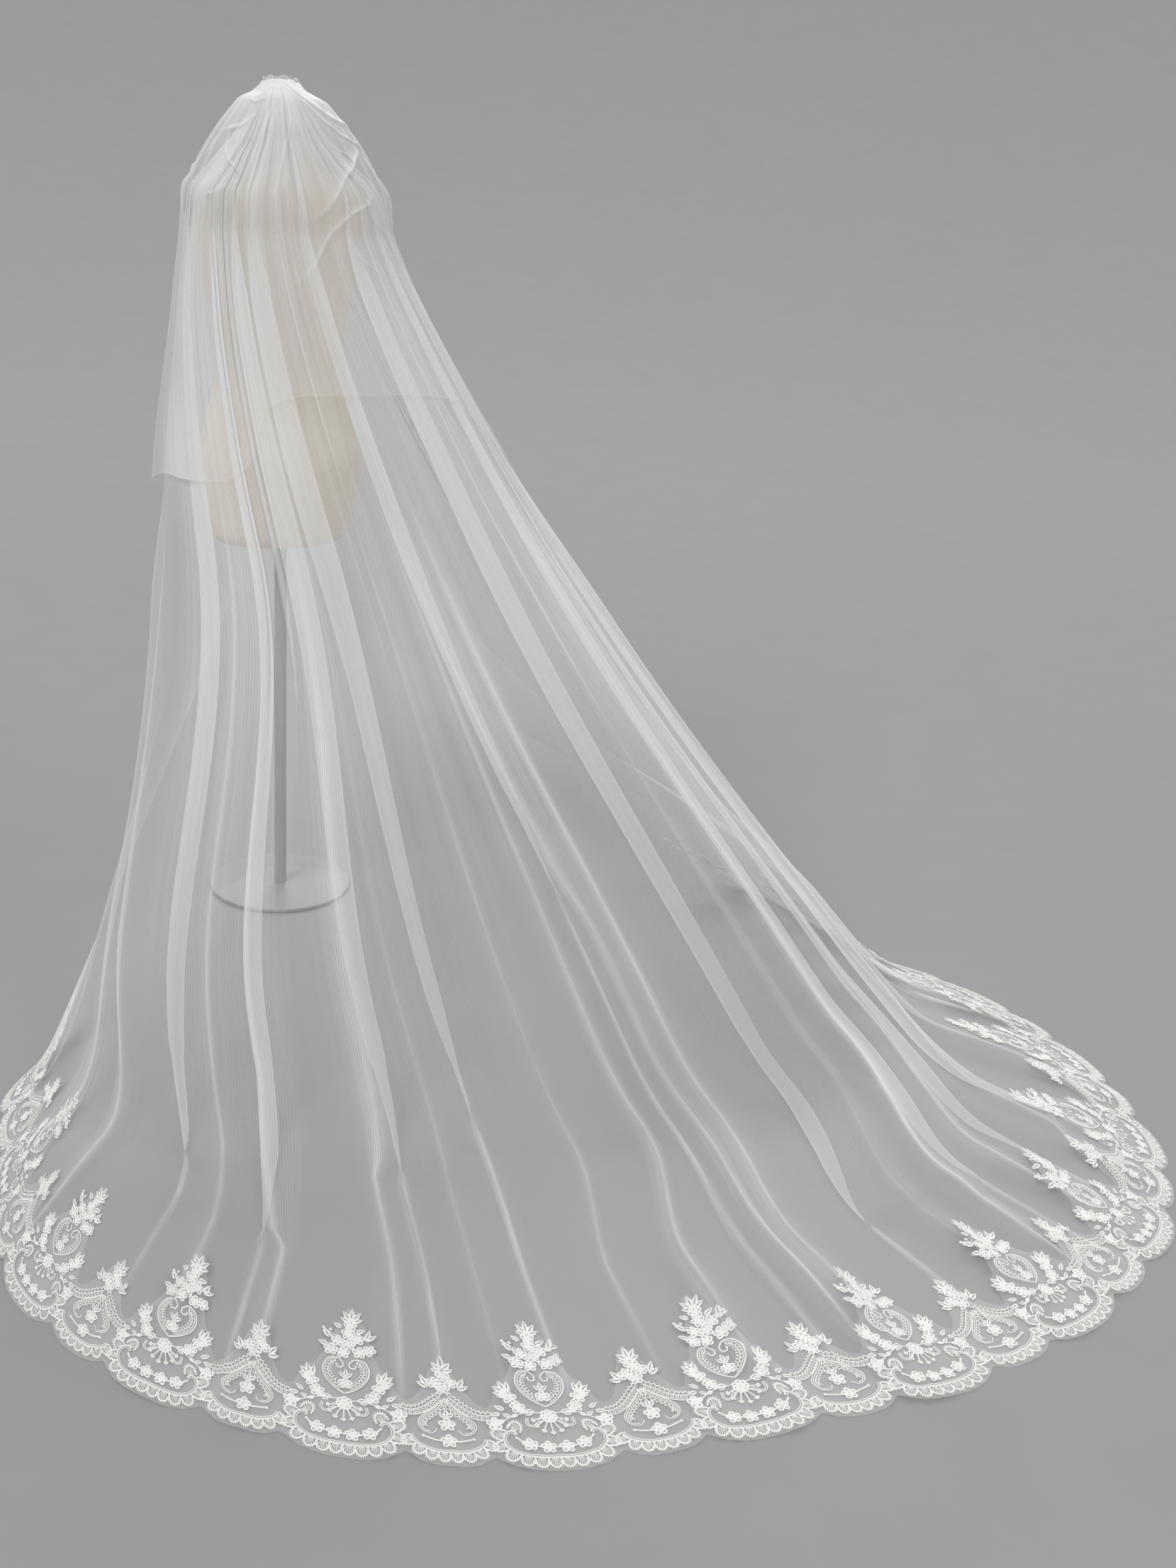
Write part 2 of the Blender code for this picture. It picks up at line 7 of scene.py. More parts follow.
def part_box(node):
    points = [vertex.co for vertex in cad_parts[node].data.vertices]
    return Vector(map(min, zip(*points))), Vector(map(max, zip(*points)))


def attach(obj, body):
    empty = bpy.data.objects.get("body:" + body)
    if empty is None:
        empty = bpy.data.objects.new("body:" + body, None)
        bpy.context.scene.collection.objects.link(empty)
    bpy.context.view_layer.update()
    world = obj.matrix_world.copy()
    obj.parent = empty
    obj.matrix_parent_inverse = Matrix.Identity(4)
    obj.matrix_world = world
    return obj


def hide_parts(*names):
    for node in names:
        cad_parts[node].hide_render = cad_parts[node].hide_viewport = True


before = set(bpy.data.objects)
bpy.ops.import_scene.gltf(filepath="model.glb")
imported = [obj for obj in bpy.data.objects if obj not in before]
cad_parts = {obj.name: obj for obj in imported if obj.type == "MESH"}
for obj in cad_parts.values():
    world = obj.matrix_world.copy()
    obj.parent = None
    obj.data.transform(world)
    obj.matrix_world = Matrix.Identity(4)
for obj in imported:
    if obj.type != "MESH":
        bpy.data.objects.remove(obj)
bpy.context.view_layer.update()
scene = bpy.context.scene
root = "root"

# The long tier's own sizes, in metres: the same driving values as the solid it stands for.
# Azimuths are in degrees from the train's centre line, "place" is a share of the way across the cloth.
longTier = {
    "combTopZ": 1.640, "shoulderZ": 1.38, "frontMeetZ": 0.62, "flare": 1.22, "frontFlare": 1.1,
    "bendZ": 0.10, "bendRun": 0.12, "contactLead": 0.045, "restZ": 0.0006,
    "foldCloth": 0.036, "foldLift": 0.0085, "foldSettle": 0.030, "foldTaper": 0.32, "gathers": 26,
    "clothWidth": 3.0, "clothLength": 2.75, "flatArea": 7.8,
    "columns": 400,
    "foldColumns": (0.0, 0.10, 0.20, 0.26, 0.30, 0.34, 0.38, 0.44, 0.5, 0.56, 0.62, 0.66, 0.70, 0.74, 0.80, 0.90, 1.0),
    "crestColumns": (-0.0032, -0.0014, -0.0005, 0.0005, 0.0014, 0.0032), "rows": (84, 12, 40),
    "topDroop": 0.005, "pleats": 54, "pleatShare": 0.78, "pleatLift": 0.0022, "pleatDeep": 0.40,
}
longRings = {
    "height": (0.0, 0.62, 1.00, 1.20, 1.30, 1.40, 1.445, 1.49, 1.545, 1.595, 1.625, 1.64),
    "halfWidth": (0.300, 0.262, 0.236, 0.218, 0.207, 0.196, 0.188, 0.150, 0.100, 0.062, 0.042, 0.036),
    "behind": (0.240, 0.210, 0.184, 0.164, 0.152, 0.140, 0.128, 0.104, 0.072, 0.041, 0.021, 0.010),
    "inFront": (0.230, 0.206, 0.186, 0.166, 0.156, 0.142, 0.128, 0.100, 0.068, 0.039, 0.019, 0.010),
}
floorContact = {
    "azimuth": (-55, -45, -36, -20, -7, 5, 15, 30, 46, 64.4),
    "radius": (0.82, 0.90, 0.96, 1.00, 1.04, 1.15, 1.27, 1.33, 1.27, 1.00),
}
hemLine = {
    "azimuth": (-55, -53.2, -48.2, -42.7, -36, -29.9, -21.8, -13.9, -4.8, 4.9, 14.7, 20.1, 25.6, 29.8, 34.2, 38,
                43, 48, 64.4),
    "radius": (0.823, 0.974, 1.141, 1.365, 1.535, 1.645, 1.755, 1.83, 1.876, 1.95, 1.986, 1.978, 1.93, 1.862,
               1.77, 1.669, 1.50, 1.26, 1.02),
}
# The lines that folds and ridges follow: each is named by its place at the hem, and lies at these places
# where the cloth meets the floor and at hip height
foldLines = {
    "hem": (0.0, 0.208, 0.258, 0.333, 0.376, 0.444, 0.474, 0.534, 0.606, 0.645, 0.690, 0.780, 1.0),
    "low": (0.0, 0.180, 0.245, 0.325, 0.377, 0.474, 0.494, 0.578, 0.667, 0.726, 0.784, 0.860, 1.0),
    "high": (0.0, 0.256, 0.325, 0.365, 0.400, 0.470, 0.482, 0.565, 0.645, 0.690, 0.740, 0.830, 1.0),
}
# Flat folds of three layers: place, width at three heights, which side is on top, and where each runs out
flatFolds = {
    "place": (0.208, 0.258, 0.333, 0.376, 0.472, 0.534, 0.606, 0.645, 0.690, 0.790),
    "bandHigh": (0.026, 0.012, 0.026, 0.022, 0.015, 0.030, 0.022, 0.020, 0.018, 0.020),
    "bandKnee": (0.014, 0.0115, 0.014, 0.0085, 0.003, 0.017, 0.010, 0.011, 0.010, 0.010),
    "bandFloor": (0.007, 0.008, 0.0065, 0.004, 0.001, 0.011, 0.0085, 0.012, 0.009, 0.005),
    "side": (1, -1, 1, 1, -1, 1, -1, 1, -1, 1),
    "end": (0.47, 0.36, 0.60, 0.72, 1.10, 0.33, 0.28, 0.20, 0.19, 0.25),
}
softRidges = {
    "place": (0.052, 0.100, 0.146, 0.232, 0.268, 0.318, 0.354, 0.410, 0.443, 0.483, 0.494, 0.560, 0.588, 0.626,
              0.668, 0.735, 0.800, 0.865, 0.925),
    "halfWidth": (0.016, 0.012, 0.010, 0.010, 0.009, 0.009, 0.010, 0.013, 0.008, 0.008, 0.009, 0.010, 0.009,
                  0.009, 0.010, 0.013, 0.013, 0.014, 0.014),
    "hanging": (0.010, 0.012, 0.010, 0.008, 0.008, 0.008, 0.006, 0.008, 0.010, 0.010, 0.010, 0.010, 0.012,
                0.010, 0.010, 0.012, 0.012, 0.012, 0.012),
    "floor": (0.008, 0.012, 0.014, 0.014, 0.014, 0.014, 0.012, 0.014, 0.020, 0.020, 0.020, 0.018, 0.022,
              0.018, 0.018, 0.022, 0.020, 0.016, 0.010),
    "sharp": (0.3, 0.6, 0.9, 0.5, 0.8, 0.7, 0.2, 0.3, 1.0, 0.9, 1.0, 0.2, 1.0, 0.6, 0.7, 0.8, 0.6, 0.5, 0.3),
}
crests = {"halfWidth": 0.0011, "proud": 0.0085, "tailProud": 0.0075}
# How much denser the net looks along a fold's edge, in a flat fold, on a ridge and on its crest
packed = {"edge": 2.4, "band": 0.5, "ridge": 0.7, "crest": 4.5}
# Fine creases that only the dressed cloth has: place, half width, how proud, and the heights they run between
fineCreases = {
    "place": (0.205, 0.232, 0.262, 0.300, 0.345, 0.392, 0.412, 0.436, 0.455, 0.472, 0.505, 0.534, 0.552, 0.585,
              0.615, 0.660, 0.705, 0.752, 0.800),
    "halfWidth": (0.0040, 0.0032, 0.0042, 0.0036, 0.0046, 0.0034, 0.0040, 0.0034, 0.0030, 0.0042, 0.0036, 0.0034,
                  0.0044, 0.0036, 0.0040, 0.0036, 0.0046, 0.0040, 0.0044),
    "proud": (0.0030, 0.0040, 0.0034, 0.0044, 0.0030, 0.0036, 0.0046, 0.0034, 0.0040, 0.0032, 0.0042, 0.0034,
              0.0030, 0.0044, 0.0032, 0.0040, 0.0034, 0.0030, 0.0036),
    "low": (0.75, 0.45, 0.95, 0.60, 1.10, 0.50, 0.85, 0.35, 0.60, 0.98, 0.40, 0.80, 0.55, 0.30, 0.90, 0.45, 0.70,
            0.85, 0.60),
    "high": (1.50, 1.56, 1.52, 1.58, 1.54, 1.57, 1.60, 1.55, 1.60, 1.56, 1.58, 1.52, 1.57, 1.54, 1.58, 1.50, 1.55,
             1.52, 1.50),
}


# A smooth curve through a table's points that never overshoots (cubic pieces, harmonic mean slopes)
def through(x, table, row, column):
    xs = np.asarray(table[row], float)
    ys = np.asarray(table[column], float)
    span = np.diff(xs)
    slope = np.diff(ys) / span
    tangent = np.zeros_like(ys)
    tangent[0] = slope[0]
    tangent[-1] = slope[-1]
    sameWay = slope[:-1] * slope[1:] > 0
    total = np.where(sameWay, slope[:-1] + slope[1:], 1)
    tangent[1:-1] = np.where(sameWay, 2 * slope[:-1] * slope[1:] / total, 0)
    i = np.clip(np.searchsorted(xs, x) - 1, 0, len(xs) - 2)
    u = np.clip((x - xs[i]) / span[i], 0, 1)
    ends = ys[i] * (1 + 2 * u) * (1 - u) ** 2 + ys[i + 1] * u * u * (3 - 2 * u)
    return ends + span[i] * (tangent[i] * u * (1 - u) ** 2 + tangent[i + 1] * u * u * (u - 1))


# 0 below low, 1 above high, and a smooth rise between
def ease(low, high, x):
    u = np.clip((x - low) / (high - low), 0, 1)
    return u * u * (3 - 2 * u)


# A ring that is half an ellipse behind and half an ellipse in front
def ring(theta, halfWidth, behind, inFront):
    depth = np.where(np.cos(theta) > 0, behind, inFront)
    return np.stack([halfWidth * np.sin(theta), -depth * np.cos(theta)], -1)


# On the left the cloth lies closer to the shoulder
leftPull = {"height": (1.0, 1.2, 1.30, 1.36, 1.41, 1.44, 1.463, 1.485, 1.51, 1.56),
            "in": (0, 0.007, 0.014, 0.018, 0.0185, 0.0165, 0.0185, 0.0125, 0.006, 0)}


def longRing(theta, z):
    halfWidth, behind, inFront = (through(z, longRings, "height", side)
                                  for side in ("halfWidth", "behind", "inFront"))
    pull = through(z, leftPull, "height", "in") * ease(0.1, -0.7, np.sin(theta))
    return ring(theta, halfWidth - pull, behind, inFront)


def polar(azimuth, radius):
    angle = np.radians(azimuth)
    return np.stack([radius * np.sin(angle), -radius * np.cos(angle)], -1)


hemAzimuth = np.linspace(hemLine["azimuth"][0], hemLine["azimuth"][-1], 400)
hemPlan = polar(hemAzimuth, through(hemAzimuth, hemLine, "azimuth", "radius"))
hemRun = np.concatenate([[0], np.cumsum(np.linalg.norm(np.diff(hemPlan, axis=0), axis=1))])
hemLength = hemRun[-1]


def azimuthAt(t):
    return np.interp(np.clip(t, 0, 1) * hemLength, hemRun, hemAzimuth)


def hemPoint(t):
    azimuth = azimuthAt(t)
    return polar(azimuth, through(azimuth, hemLine, "azimuth", "radius"))


def contactPoint(t):
    t = np.clip(t, 0, 1)
    azimuth = azimuthAt(t + longTier["contactLead"] * np.sin(np.pi * t))
    return polar(azimuth, through(azimuth, floorContact, "azimuth", "radius"))


# The tent: rings round the form above, drawn out below to where the cloth meets the floor
def hanging(t, z):
    theta = 2 * np.pi * (t - 0.5)
    reach = contactPoint(t) - longRing(theta, 0 * z)
    behind = np.clip((longTier["shoulderZ"] - z) / longTier["shoulderZ"], 0, 1) ** longTier["flare"]
    inFront = np.clip((longTier["frontMeetZ"] - z) / longTier["frontMeetZ"], 0, 1) ** longTier["frontFlare"]
    frontShare = ease(112, 180, np.abs(np.degrees(theta)))
    drawn = (1 - frontShare) * behind + frontShare * inFront
    return longRing(theta, z) + reach * drawn[..., None]


def liftTo(plan, z):
    return np.concatenate([plan, np.broadcast_to(z, plan.shape[:-1])[..., None]], -1)


def dropHeight(v):
    return longTier["combTopZ"] + (longTier["bendZ"] - longTier["combTopZ"]) * np.clip(v, 0, 1)


# The tier without folds: v 0 to 1 is the straight drop, 1 to 2 a quadratic bend, 2 to 3 flat to the hem
def smoothCloth(t, v):
    z = dropHeight(v)
    drop = liftTo(hanging(t, z), z)
    contact = contactPoint(t)
    out = hemPoint(t) - contact
    run = np.linalg.norm(out, axis=-1)
    turn = np.minimum(longTier["bendRun"], 0.5 * run)
    settled = liftTo(contact + out / run[..., None] * turn[..., None], longTier["restZ"])
    corner = liftTo(contact, longTier["restZ"])
    u = np.clip(v - 1, 0, 1)[..., None]
    bend = drop * (1 - u) ** 2 + corner * 2 * u * (1 - u) + settled * u * u
    w = np.clip(v - 2, 0, 1)[..., None]
    flat = settled * (1 - w) + liftTo(hemPoint(t), longTier["restZ"]) * w
    return np.where((v < 1)[..., None], drop, np.where((v < 2)[..., None], bend, flat))


# Cloth on the floor, cloth in the bend, and metres of cloth for each metre of drop above it
def lengthsBelow(t):
    contact = contactPoint(t)
    run = np.linalg.norm(hemPoint(t) - contact, axis=-1)
    turn = np.minimum(longTier["bendRun"], 0.5 * run)
    bendZ = longTier["bendZ"]
    start = hanging(t, np.full_like(t, bendZ))
    slant = np.hypot(np.linalg.norm(start - contact, axis=-1), bendZ)
    above = hanging(t, np.full_like(t, 2 * bendZ))
    steep = np.hypot(np.linalg.norm(above - start, axis=-1), bendZ) / bendZ
    return run - turn, slant + turn, steep


def hemDistance(t, v):
    flat, bend, steep = lengthsBelow(t)
    zAbove = (1 - np.clip(v, 0, 1)) * (longTier["combTopZ"] - longTier["bendZ"])
    return np.clip(3 - v, 0, 1) * flat + np.clip(2 - v, 0, 1) * bend + zAbove * steep


def vAtHemDistance(t, distance):
    flat, bend, steep = lengthsBelow(t)
    above = 1 - (distance - flat - bend) / steep / (longTier["combTopZ"] - longTier["bendZ"])
    return np.where(distance < flat, 3 - distance / flat,
                    np.where(distance < flat + bend, 2 - (distance - flat) / bend, above))


# Slides the cloth sideways with height, so each fold follows its own line from the comb to the hem
def foldPlace(t, z, toHem):
    low = through(t, foldLines, "hem", "low")
    high = through(t, foldLines, "hem", "high")
    return low + (high - low) * ease(0.15, 0.85, z) + (t - low) * ease(0.75, 0.35, toHem)


# A flat fold moves the cloth to and fro once (a sine across it), so three layers lie over each other;
# a ridge lifts it by a bell curve, with a sharp crest where the net is pinched. Returns the place across,
# the distance off the smooth cloth, and how many times denser the net is there.
def folded(t, v):
    z = dropHeight(v)
    toHem = hemDistance(t, v)
    opened = ease(1.56, 1.25, z)
    wander = t + 0.0012 * np.sin(8 * toHem + 30 * t) * ease(0.5, 0.0, z) * ease(0.9, 0.3, toHem)
    nearHem = 0.15 + 0.85 * ease(0.0, 0.30, toHem)
    placed = foldPlace(t, z, toHem)
    lift = np.zeros_like(t)
    dense = np.ones_like(t)
    foldCloth = longTier["foldCloth"]
    columns = ("place", "bandHigh", "bandKnee", "bandFloor", "side", "end")
    for place, high, knee, low, side, end in zip(*(flatFolds[k] for k in columns)):
        near = np.abs(t - place) < foldCloth / 2 + longTier["foldSettle"]
        if not near.any():
            continue
        band = {"height": (0.0, 0.30, 0.85), "width": (low, knee, high)}
        width = through(np.where(v > 1, 0, z), band, "height", "width")
        width = width * np.clip((toHem - end) / longTier["foldTaper"], 0, 1)
        half = foldCloth / 2
        cloth = foldPlace(place + half, z, toHem) - foldPlace(place - half, z, toHem)
        tau = np.clip((t - place) / foldCloth + 0.5, 0, 1)
        shut = ease(0.0, 0.0015, width)
        started = np.clip(width / 0.006, 0, 1) ** 0.67
        slide = (0.159 + 0.091 * started) * cloth + 0.5 * width * started
        placed = placed + opened * shut * slide * np.sin(2 * np.pi * tau)
        rise = tau if side > 0 else 1 - tau
        past = (t - place) * side - half
        lift = lift + longTier["foldLift"] * opened * shut * rise * (1 - ease(0, longTier["foldSettle"], past))
        turn = np.arccos(np.clip(-cloth / (2 * np.pi * slide), -1, 0)) / (2 * np.pi)
        edge = np.exp(-((tau - turn) / 0.03) ** 2) + np.exp(-((tau - 1 + turn) / 0.03) ** 2)
        within = ease(0.15, 0.35, tau) * ease(0.85, 0.65, tau)
        dense = dense + opened * shut * (packed["edge"] * edge + packed["band"] * within)
        tail = np.exp(-np.abs(wander - place) / crests["halfWidth"]) * (1 - shut) * ease(0.95, 0.6, z)
        lift = lift + crests["tailProud"] * tail * nearHem
        dense = dense + packed["crest"] * tail * nearHem
    onFloor = ease(0.6, 0.0, z)
    columns = ("place", "halfWidth", "hanging", "floor", "sharp")
    for place, halfWidth, high, low, sharp in zip(*(softRidges[k] for k in columns)):
        crest = np.exp(-((t - place) / halfWidth) ** 2) * nearHem * ease(0.98, 0.70, z)
        line = np.exp(-np.abs(wander - place) / crests["halfWidth"]) * nearHem * ease(1.0, 0.6, z) * sharp
        lift = lift + crest * (high + (low - high) * onFloor) + crests["proud"] * line
        dense = dense + packed["ridge"] * crest * sharp + packed["crest"] * line
    return placed, lift, dense


# Gathers start at the comb, widen downwards and die out over the shoulders
def gatherWave(t, z, count):
    depth = {"height": (1.0, 1.15, 1.38, 1.50, 1.60, 1.64), "wave": (0.0, 0.001, 0.003, 0.0036, 0.0016, 0.0)}
    return through(z, depth, "height", "wave") * np.sin(2 * np.pi * count * t)


def creaseLift(t, z):
    lift = np.zeros_like(t)
    for place, halfWidth, proud, low, high in zip(*fineCreases.values()):
        crest = 1 / (1 + ((t - place) / halfWidth) ** 2) ** 2
        lift = lift + proud * crest * ease(low - 0.15, low + 0.2, z) * ease(high + 0.06, high - 0.06, z)
    return lift


# Knife pleats at the comb: a sine slides the cloth to and fro in each, so it lies in three layers, each
# a little higher than the last. Every pleat has its own width and runs out at its own height.
def pleated(t, z):
    count = longTier["pleats"]
    drift = 0.22 / count * np.sin(2 * np.pi * 7.3 * t + 0.9) + 0.15 / count * np.sin(2 * np.pi * 17.1 * t)
    place = (t + drift) * count
    number = np.floor(place)
    tau = np.clip((place - number) / longTier["pleatShare"], 0, 1)
    lot = np.sin(number * 12.9898) * 43758.5453
    lot = lot - np.floor(lot)
    other = np.sin(number * 78.233 + 1.7) * 24634.6345
    other = other - np.floor(other)
    runOut = 1.47 - 0.85 * lot ** 1.6
    open_ = ease(runOut - 0.32, runOut + 0.10, z)
    depth = longTier["pleatDeep"] * (0.45 + 0.75 * other) * open_ * ease(1.64, 1.60, z) ** 0.5
    slide = depth / count * longTier["pleatShare"] * np.sin(2 * np.pi * tau)
    settle = 1 - ease(longTier["pleatShare"], 1.0, place - number)
    return slide, longTier["pleatLift"] * (0.4 + 0.8 * lot) * open_ * tau * settle


# The gathered top edge droops a little towards the comb's ends and is uneven
def topEdge(points, v):
    share = np.clip(points[..., 0] / longRings["halfWidth"][-1], -1.4, 1.4)
    uneven = np.sin(points[..., 0] * 310) + np.sin(points[..., 0] * 173 + points[..., 1] * 400)
    points[..., 2] -= (longTier["topDroop"] * share ** 2 + 0.0007 * uneven) * ease(0.06, 0.0, v)
    return points


# Under the hood the gathers are drawn in to a tighter cone than the hood itself
conePinch = {"height": (1.44, 1.49, 1.545, 1.595, 1.625, 1.64), "share": (0.0, 0.07, 0.16, 0.17, 0.08, 0.0)}


def drawnIn(points):
    points[..., :2] *= 1 - through(np.maximum(points[..., 2], 1.44), conePinch, "height", "share")[..., None]
    return points


# The surface's outward normal, from small steps in its two directions
def outward(surface, t, v, small=1e-4):
    across = surface(t + small, v) - surface(t - small, v)
    down = surface(t, v + small) - surface(t, v - small)
    normal = np.cross(down, across)
    return normal / np.maximum(np.linalg.norm(normal, axis=-1), 1e-12)[..., None]


def longTierSurface(t, v):
    z = dropHeight(v)
    placed, lift, _ = folded(t, v)
    slide, pleatLift = pleated(t, z)
    placed = np.clip(placed + slide * (v < 1), 0.001, 0.999)
    stand = lift + (gatherWave(t, z, longTier["gathers"]) + creaseLift(t, z) + pleatLift) * (v < 1)
    points = smoothCloth(placed, v) + outward(smoothCloth, placed, np.clip(v, 1e-3, 2.999)) * stand[..., None]
    points[..., 2] = np.maximum(points[..., 2], longTier["restZ"])
    return topEdge(drawnIn(points), v)


# Meshes

def meshPiece(name, points, faces, material, uvs=None, smooth=True, fullness=None):
    mesh = bpy.data.meshes.new(name)
    mesh.from_pydata(np.asarray(points, np.float32).reshape(-1, 3), [], faces)
    if fullness is not None:
        layer = mesh.attributes.new("fullness", "FLOAT", "POINT")
        layer.data.foreach_set("value", np.asarray(fullness, np.float32).ravel())
    if uvs is not None:
        layer = mesh.uv_layers.new(name="cloth")
        corner = np.zeros(len(mesh.loops), np.int32)
        mesh.loops.foreach_get("vertex_index", corner)
        layer.data.foreach_set("uv", np.asarray(uvs, np.float32).reshape(-1, 2)[corner].ravel())
    if smooth:
        mesh.shade_smooth()
    mesh.materials.append(material)
    piece = bpy.data.objects.new(name, mesh)
    scene.collection.objects.link(piece)
    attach(piece, root)
    return piece


# Quads of a grid of points, row by row; wrapped joins the last column to the first
def gridFaces(rows, columns, wrapped=False):
    index = np.arange(rows * columns).reshape(rows, columns)
    if wrapped:
        index = np.concatenate([index, index[:, :1]], 1)
    return np.stack([index[:-1, :-1], index[1:, :-1], index[1:, 1:], index[:-1, 1:]], -1).reshape(-1, 4)


# Shader maths

class Wire:
    def __init__(self, tree, socket):
        self.tree = tree
        self.socket = socket

    def math(self, operation, *others, swapped=False):
        values = [self, *others]
        if swapped:
            values = values[::-1]
        return self.tree.add("ShaderNodeMath", {"operation": operation}, dict(enumerate(values)))

    def __add__(self, other):
        return self.math("ADD", other)

    def __sub__(self, other):
        return self.math("SUBTRACT", other)

    def __rsub__(self, other):
        return self.math("SUBTRACT", other, swapped=True)

    def __mul__(self, other):
        return self.math("MULTIPLY", other)

    def __truediv__(self, other):
        return self.math("DIVIDE", other)

    def __rtruediv__(self, other):
        return self.math("DIVIDE", other, swapped=True)

    def __pow__(self, other):
        return self.math("POWER", other)

    __radd__ = __add__
    __rmul__ = __mul__

    # 0 below low, 1 above high, as a smooth step
    def rise(self, low, high):
        return self.tree.add("ShaderNodeMapRange", {"interpolation_type": "SMOOTHSTEP"},
                             {"Value": self, "From Min": low, "From Max": high})


class Shader:
    def __init__(self, name):
        self.material = bpy.data.materials.new(name)
        self.material.use_nodes = True
        self.nodes = self.material.node_tree.nodes
        self.links = self.material.node_tree.links
        self.surface = self.nodes["Principled BSDF"]

    # One node: its type, its settings, the values or links of its sockets, and which output is wanted
    def add(self, kind, settings, inputs, output=0):
        node = self.nodes.new(kind)
        for key, value in settings.items():
            if key == "stops":
                self.setStops(node.color_ramp, value)
            else:
                setattr(node, key, value)
        for key, value in inputs.items():
            self.feed(node.inputs[key], value)
        return Wire(self, node.outputs[output])

    def setStops(self, ramp, stops):
        while len(ramp.elements) < len(stops):
            ramp.elements.new(0.5)
        for element, (place, color) in zip(ramp.elements, stops):
            element.position = place
            element.color = (*color, 1)

    def feed(self, socket, value):
        if isinstance(value, Wire):
            self.links.new(value.socket, socket)
        else:
            socket.default_value = value

    def set(self, **values):
        for name, value in values.items():
            label = {"baseColor": "Base Color", "roughness": "Roughness", "metallic": "Metallic", "alpha": "Alpha",
                     "sheen": "Sheen Weight", "sheenRoughness": "Sheen Roughness", "coat": "Coat Weight",
                     "normal": "Normal", "ior": "IOR", "specular": "Specular IOR Level",
                     "transmission": "Transmission Weight", "subsurface": "Subsurface Weight"}[name]
            self.feed(self.surface.inputs[label], value)

    def uv(self):
        return self.add("ShaderNodeUVMap", {"uv_map": "cloth"}, {})

    def place(self):
        return self.add("ShaderNodeTexCoord", {}, {}, "Object")

    def split(self, vector):
        node = self.add("ShaderNodeSeparateXYZ", {}, {0: vector}).socket.node
        return [Wire(self, out) for out in node.outputs]

    def noise(self, vector, scale, detail=3.0, roughness=0.5):
        return self.add("ShaderNodeTexNoise", {}, {"Vector": vector, "Scale": scale, "Detail": detail,
                                                   "Roughness": roughness})

    def mixColor(self, share, low, high):
        return self.add("ShaderNodeMix", {"data_type": "RGBA"}, {0: share, 6: low, 7: high}, 2)

    def bump(self, height, strength, distance):
        return self.add("ShaderNodeBump", {}, {"Height": height, "Strength": strength, "Distance": distance})


def rgba(red, green, blue):
    return (red, green, blue, 1)


# Tulle: a honeycomb net. Three cosines at 120 degrees peak in its holes, and the threads are what is left.
# A layer hides 1 - (1 - cover) ** n of what is behind it: n is how much cloth is gathered into each metre,
# over the cosine of the angle that it is seen at, because a net seen edge on closes up.
tulleFinish = {"cell": 0.0017, "cover": 0.075, "crowding": 1.62, "flattest": 0.07, "streaks": (75.0, 0.9, 1.0),
               "streakDepth": 1.5, "color": (0.93, 0.935, 0.94)}


def tulleMaterial(name, cover):
    tulle = Shader(name)
    x, y, _ = tulle.split(tulle.uv())
    turn = 2 * math.pi / tulleFinish["cell"]
    along = x * turn
    slant = y * (turn * math.sqrt(3) / 2)
    waves = along.math("COSINE") + (along * 0.5 + slant).math("COSINE") + (slant - along * 0.5).math("COSINE")
    thread = 1 - waves.rise(-1.1, 0.9)
    fullness = tulle.add("ShaderNodeAttribute", {"attribute_name": "fullness"}, {}, "Fac")
    stretched = tulle.add("ShaderNodeVectorMath", {"operation": "MULTIPLY"},
                          {0: tulle.uv(), 1: tulleFinish["streaks"]})
    streak = (tulle.noise(stretched, 1.0, 3.0, 0.75) - 0.5) * tulleFinish["streakDepth"]
    gathered = (fullness - 1).math("MINIMUM", 1.5)
    facing = tulle.add("ShaderNodeLayerWeight", {}, {"Blend": 0.5}, "Facing")
    layers = fullness * (1 + streak * gathered) / (1 + tulleFinish["flattest"] - facing)
    clear = 1 - (0.55 + thread * 0.9) * cover
    tulle.set(baseColor=rgba(*tulleFinish["color"]), roughness=0.55, sheen=0.25, sheenRoughness=0.4, specular=0.35,
              alpha=1 - clear ** layers)
    return tulle.material


# Metres of cloth in each metre of its path round the figure, never less than one
def fullnessOf(surface, t, v, clothWidth, small=2e-3):
    step = surface(t + small, v) - surface(t - small, v)
    full = clothWidth * 2 * small / np.maximum(np.linalg.norm(step, axis=-1), 1e-6)
    return np.clip(full, 1, 7) ** tulleFinish["crowding"]


tulle = tulleMaterial("tulle_net", tulleFinish["cover"])
print("materials ready")

# The long tier: rows closer at the comb, extra columns through each flat fold
rowsDrop, rowsBend, rowsFloor = longTier["rows"]
lace = {"repeats": 15, "notchPhase": 0.297, "notchDepth": 0.026, "smallRise": 0.007, "offCloth": 0.0009, "netCover": 0.125,
        "bold": 1.25}


# How far the cut edge stands in from the hem's outer line: a wide scallop, a small one, and notches between
def scallop(t):
    phase = np.abs((t * lace["repeats"]) % 1 - 0.5)
    wide = lace["notchDepth"] * (phase / lace["notchPhase"]) ** 3
    smallShare = (0.5 - phase) / (0.5 - lace["notchPhase"])
    small = lace["smallRise"] + (lace["notchDepth"] - lace["smallRise"]) * smallShare ** 3
    return np.where(phase < lace["notchPhase"], wide, small)


def clothColumns():
    even = np.linspace(0.008, 0.992, longTier["columns"])
    across = (np.array(longTier["foldColumns"]) - 0.5) * longTier["foldCloth"]
    extra = [place + across for place in flatFolds["place"]]
    beside = np.array(longTier["crestColumns"])
    lines = [place + beside for place in softRidges["place"]] + [(0.0092, 0.0100, 0.9900, 0.9908)]
    columns = np.sort(np.concatenate([even, *extra, *lines]))
    return columns[np.concatenate([[True], np.diff(columns) > 2e-4])]


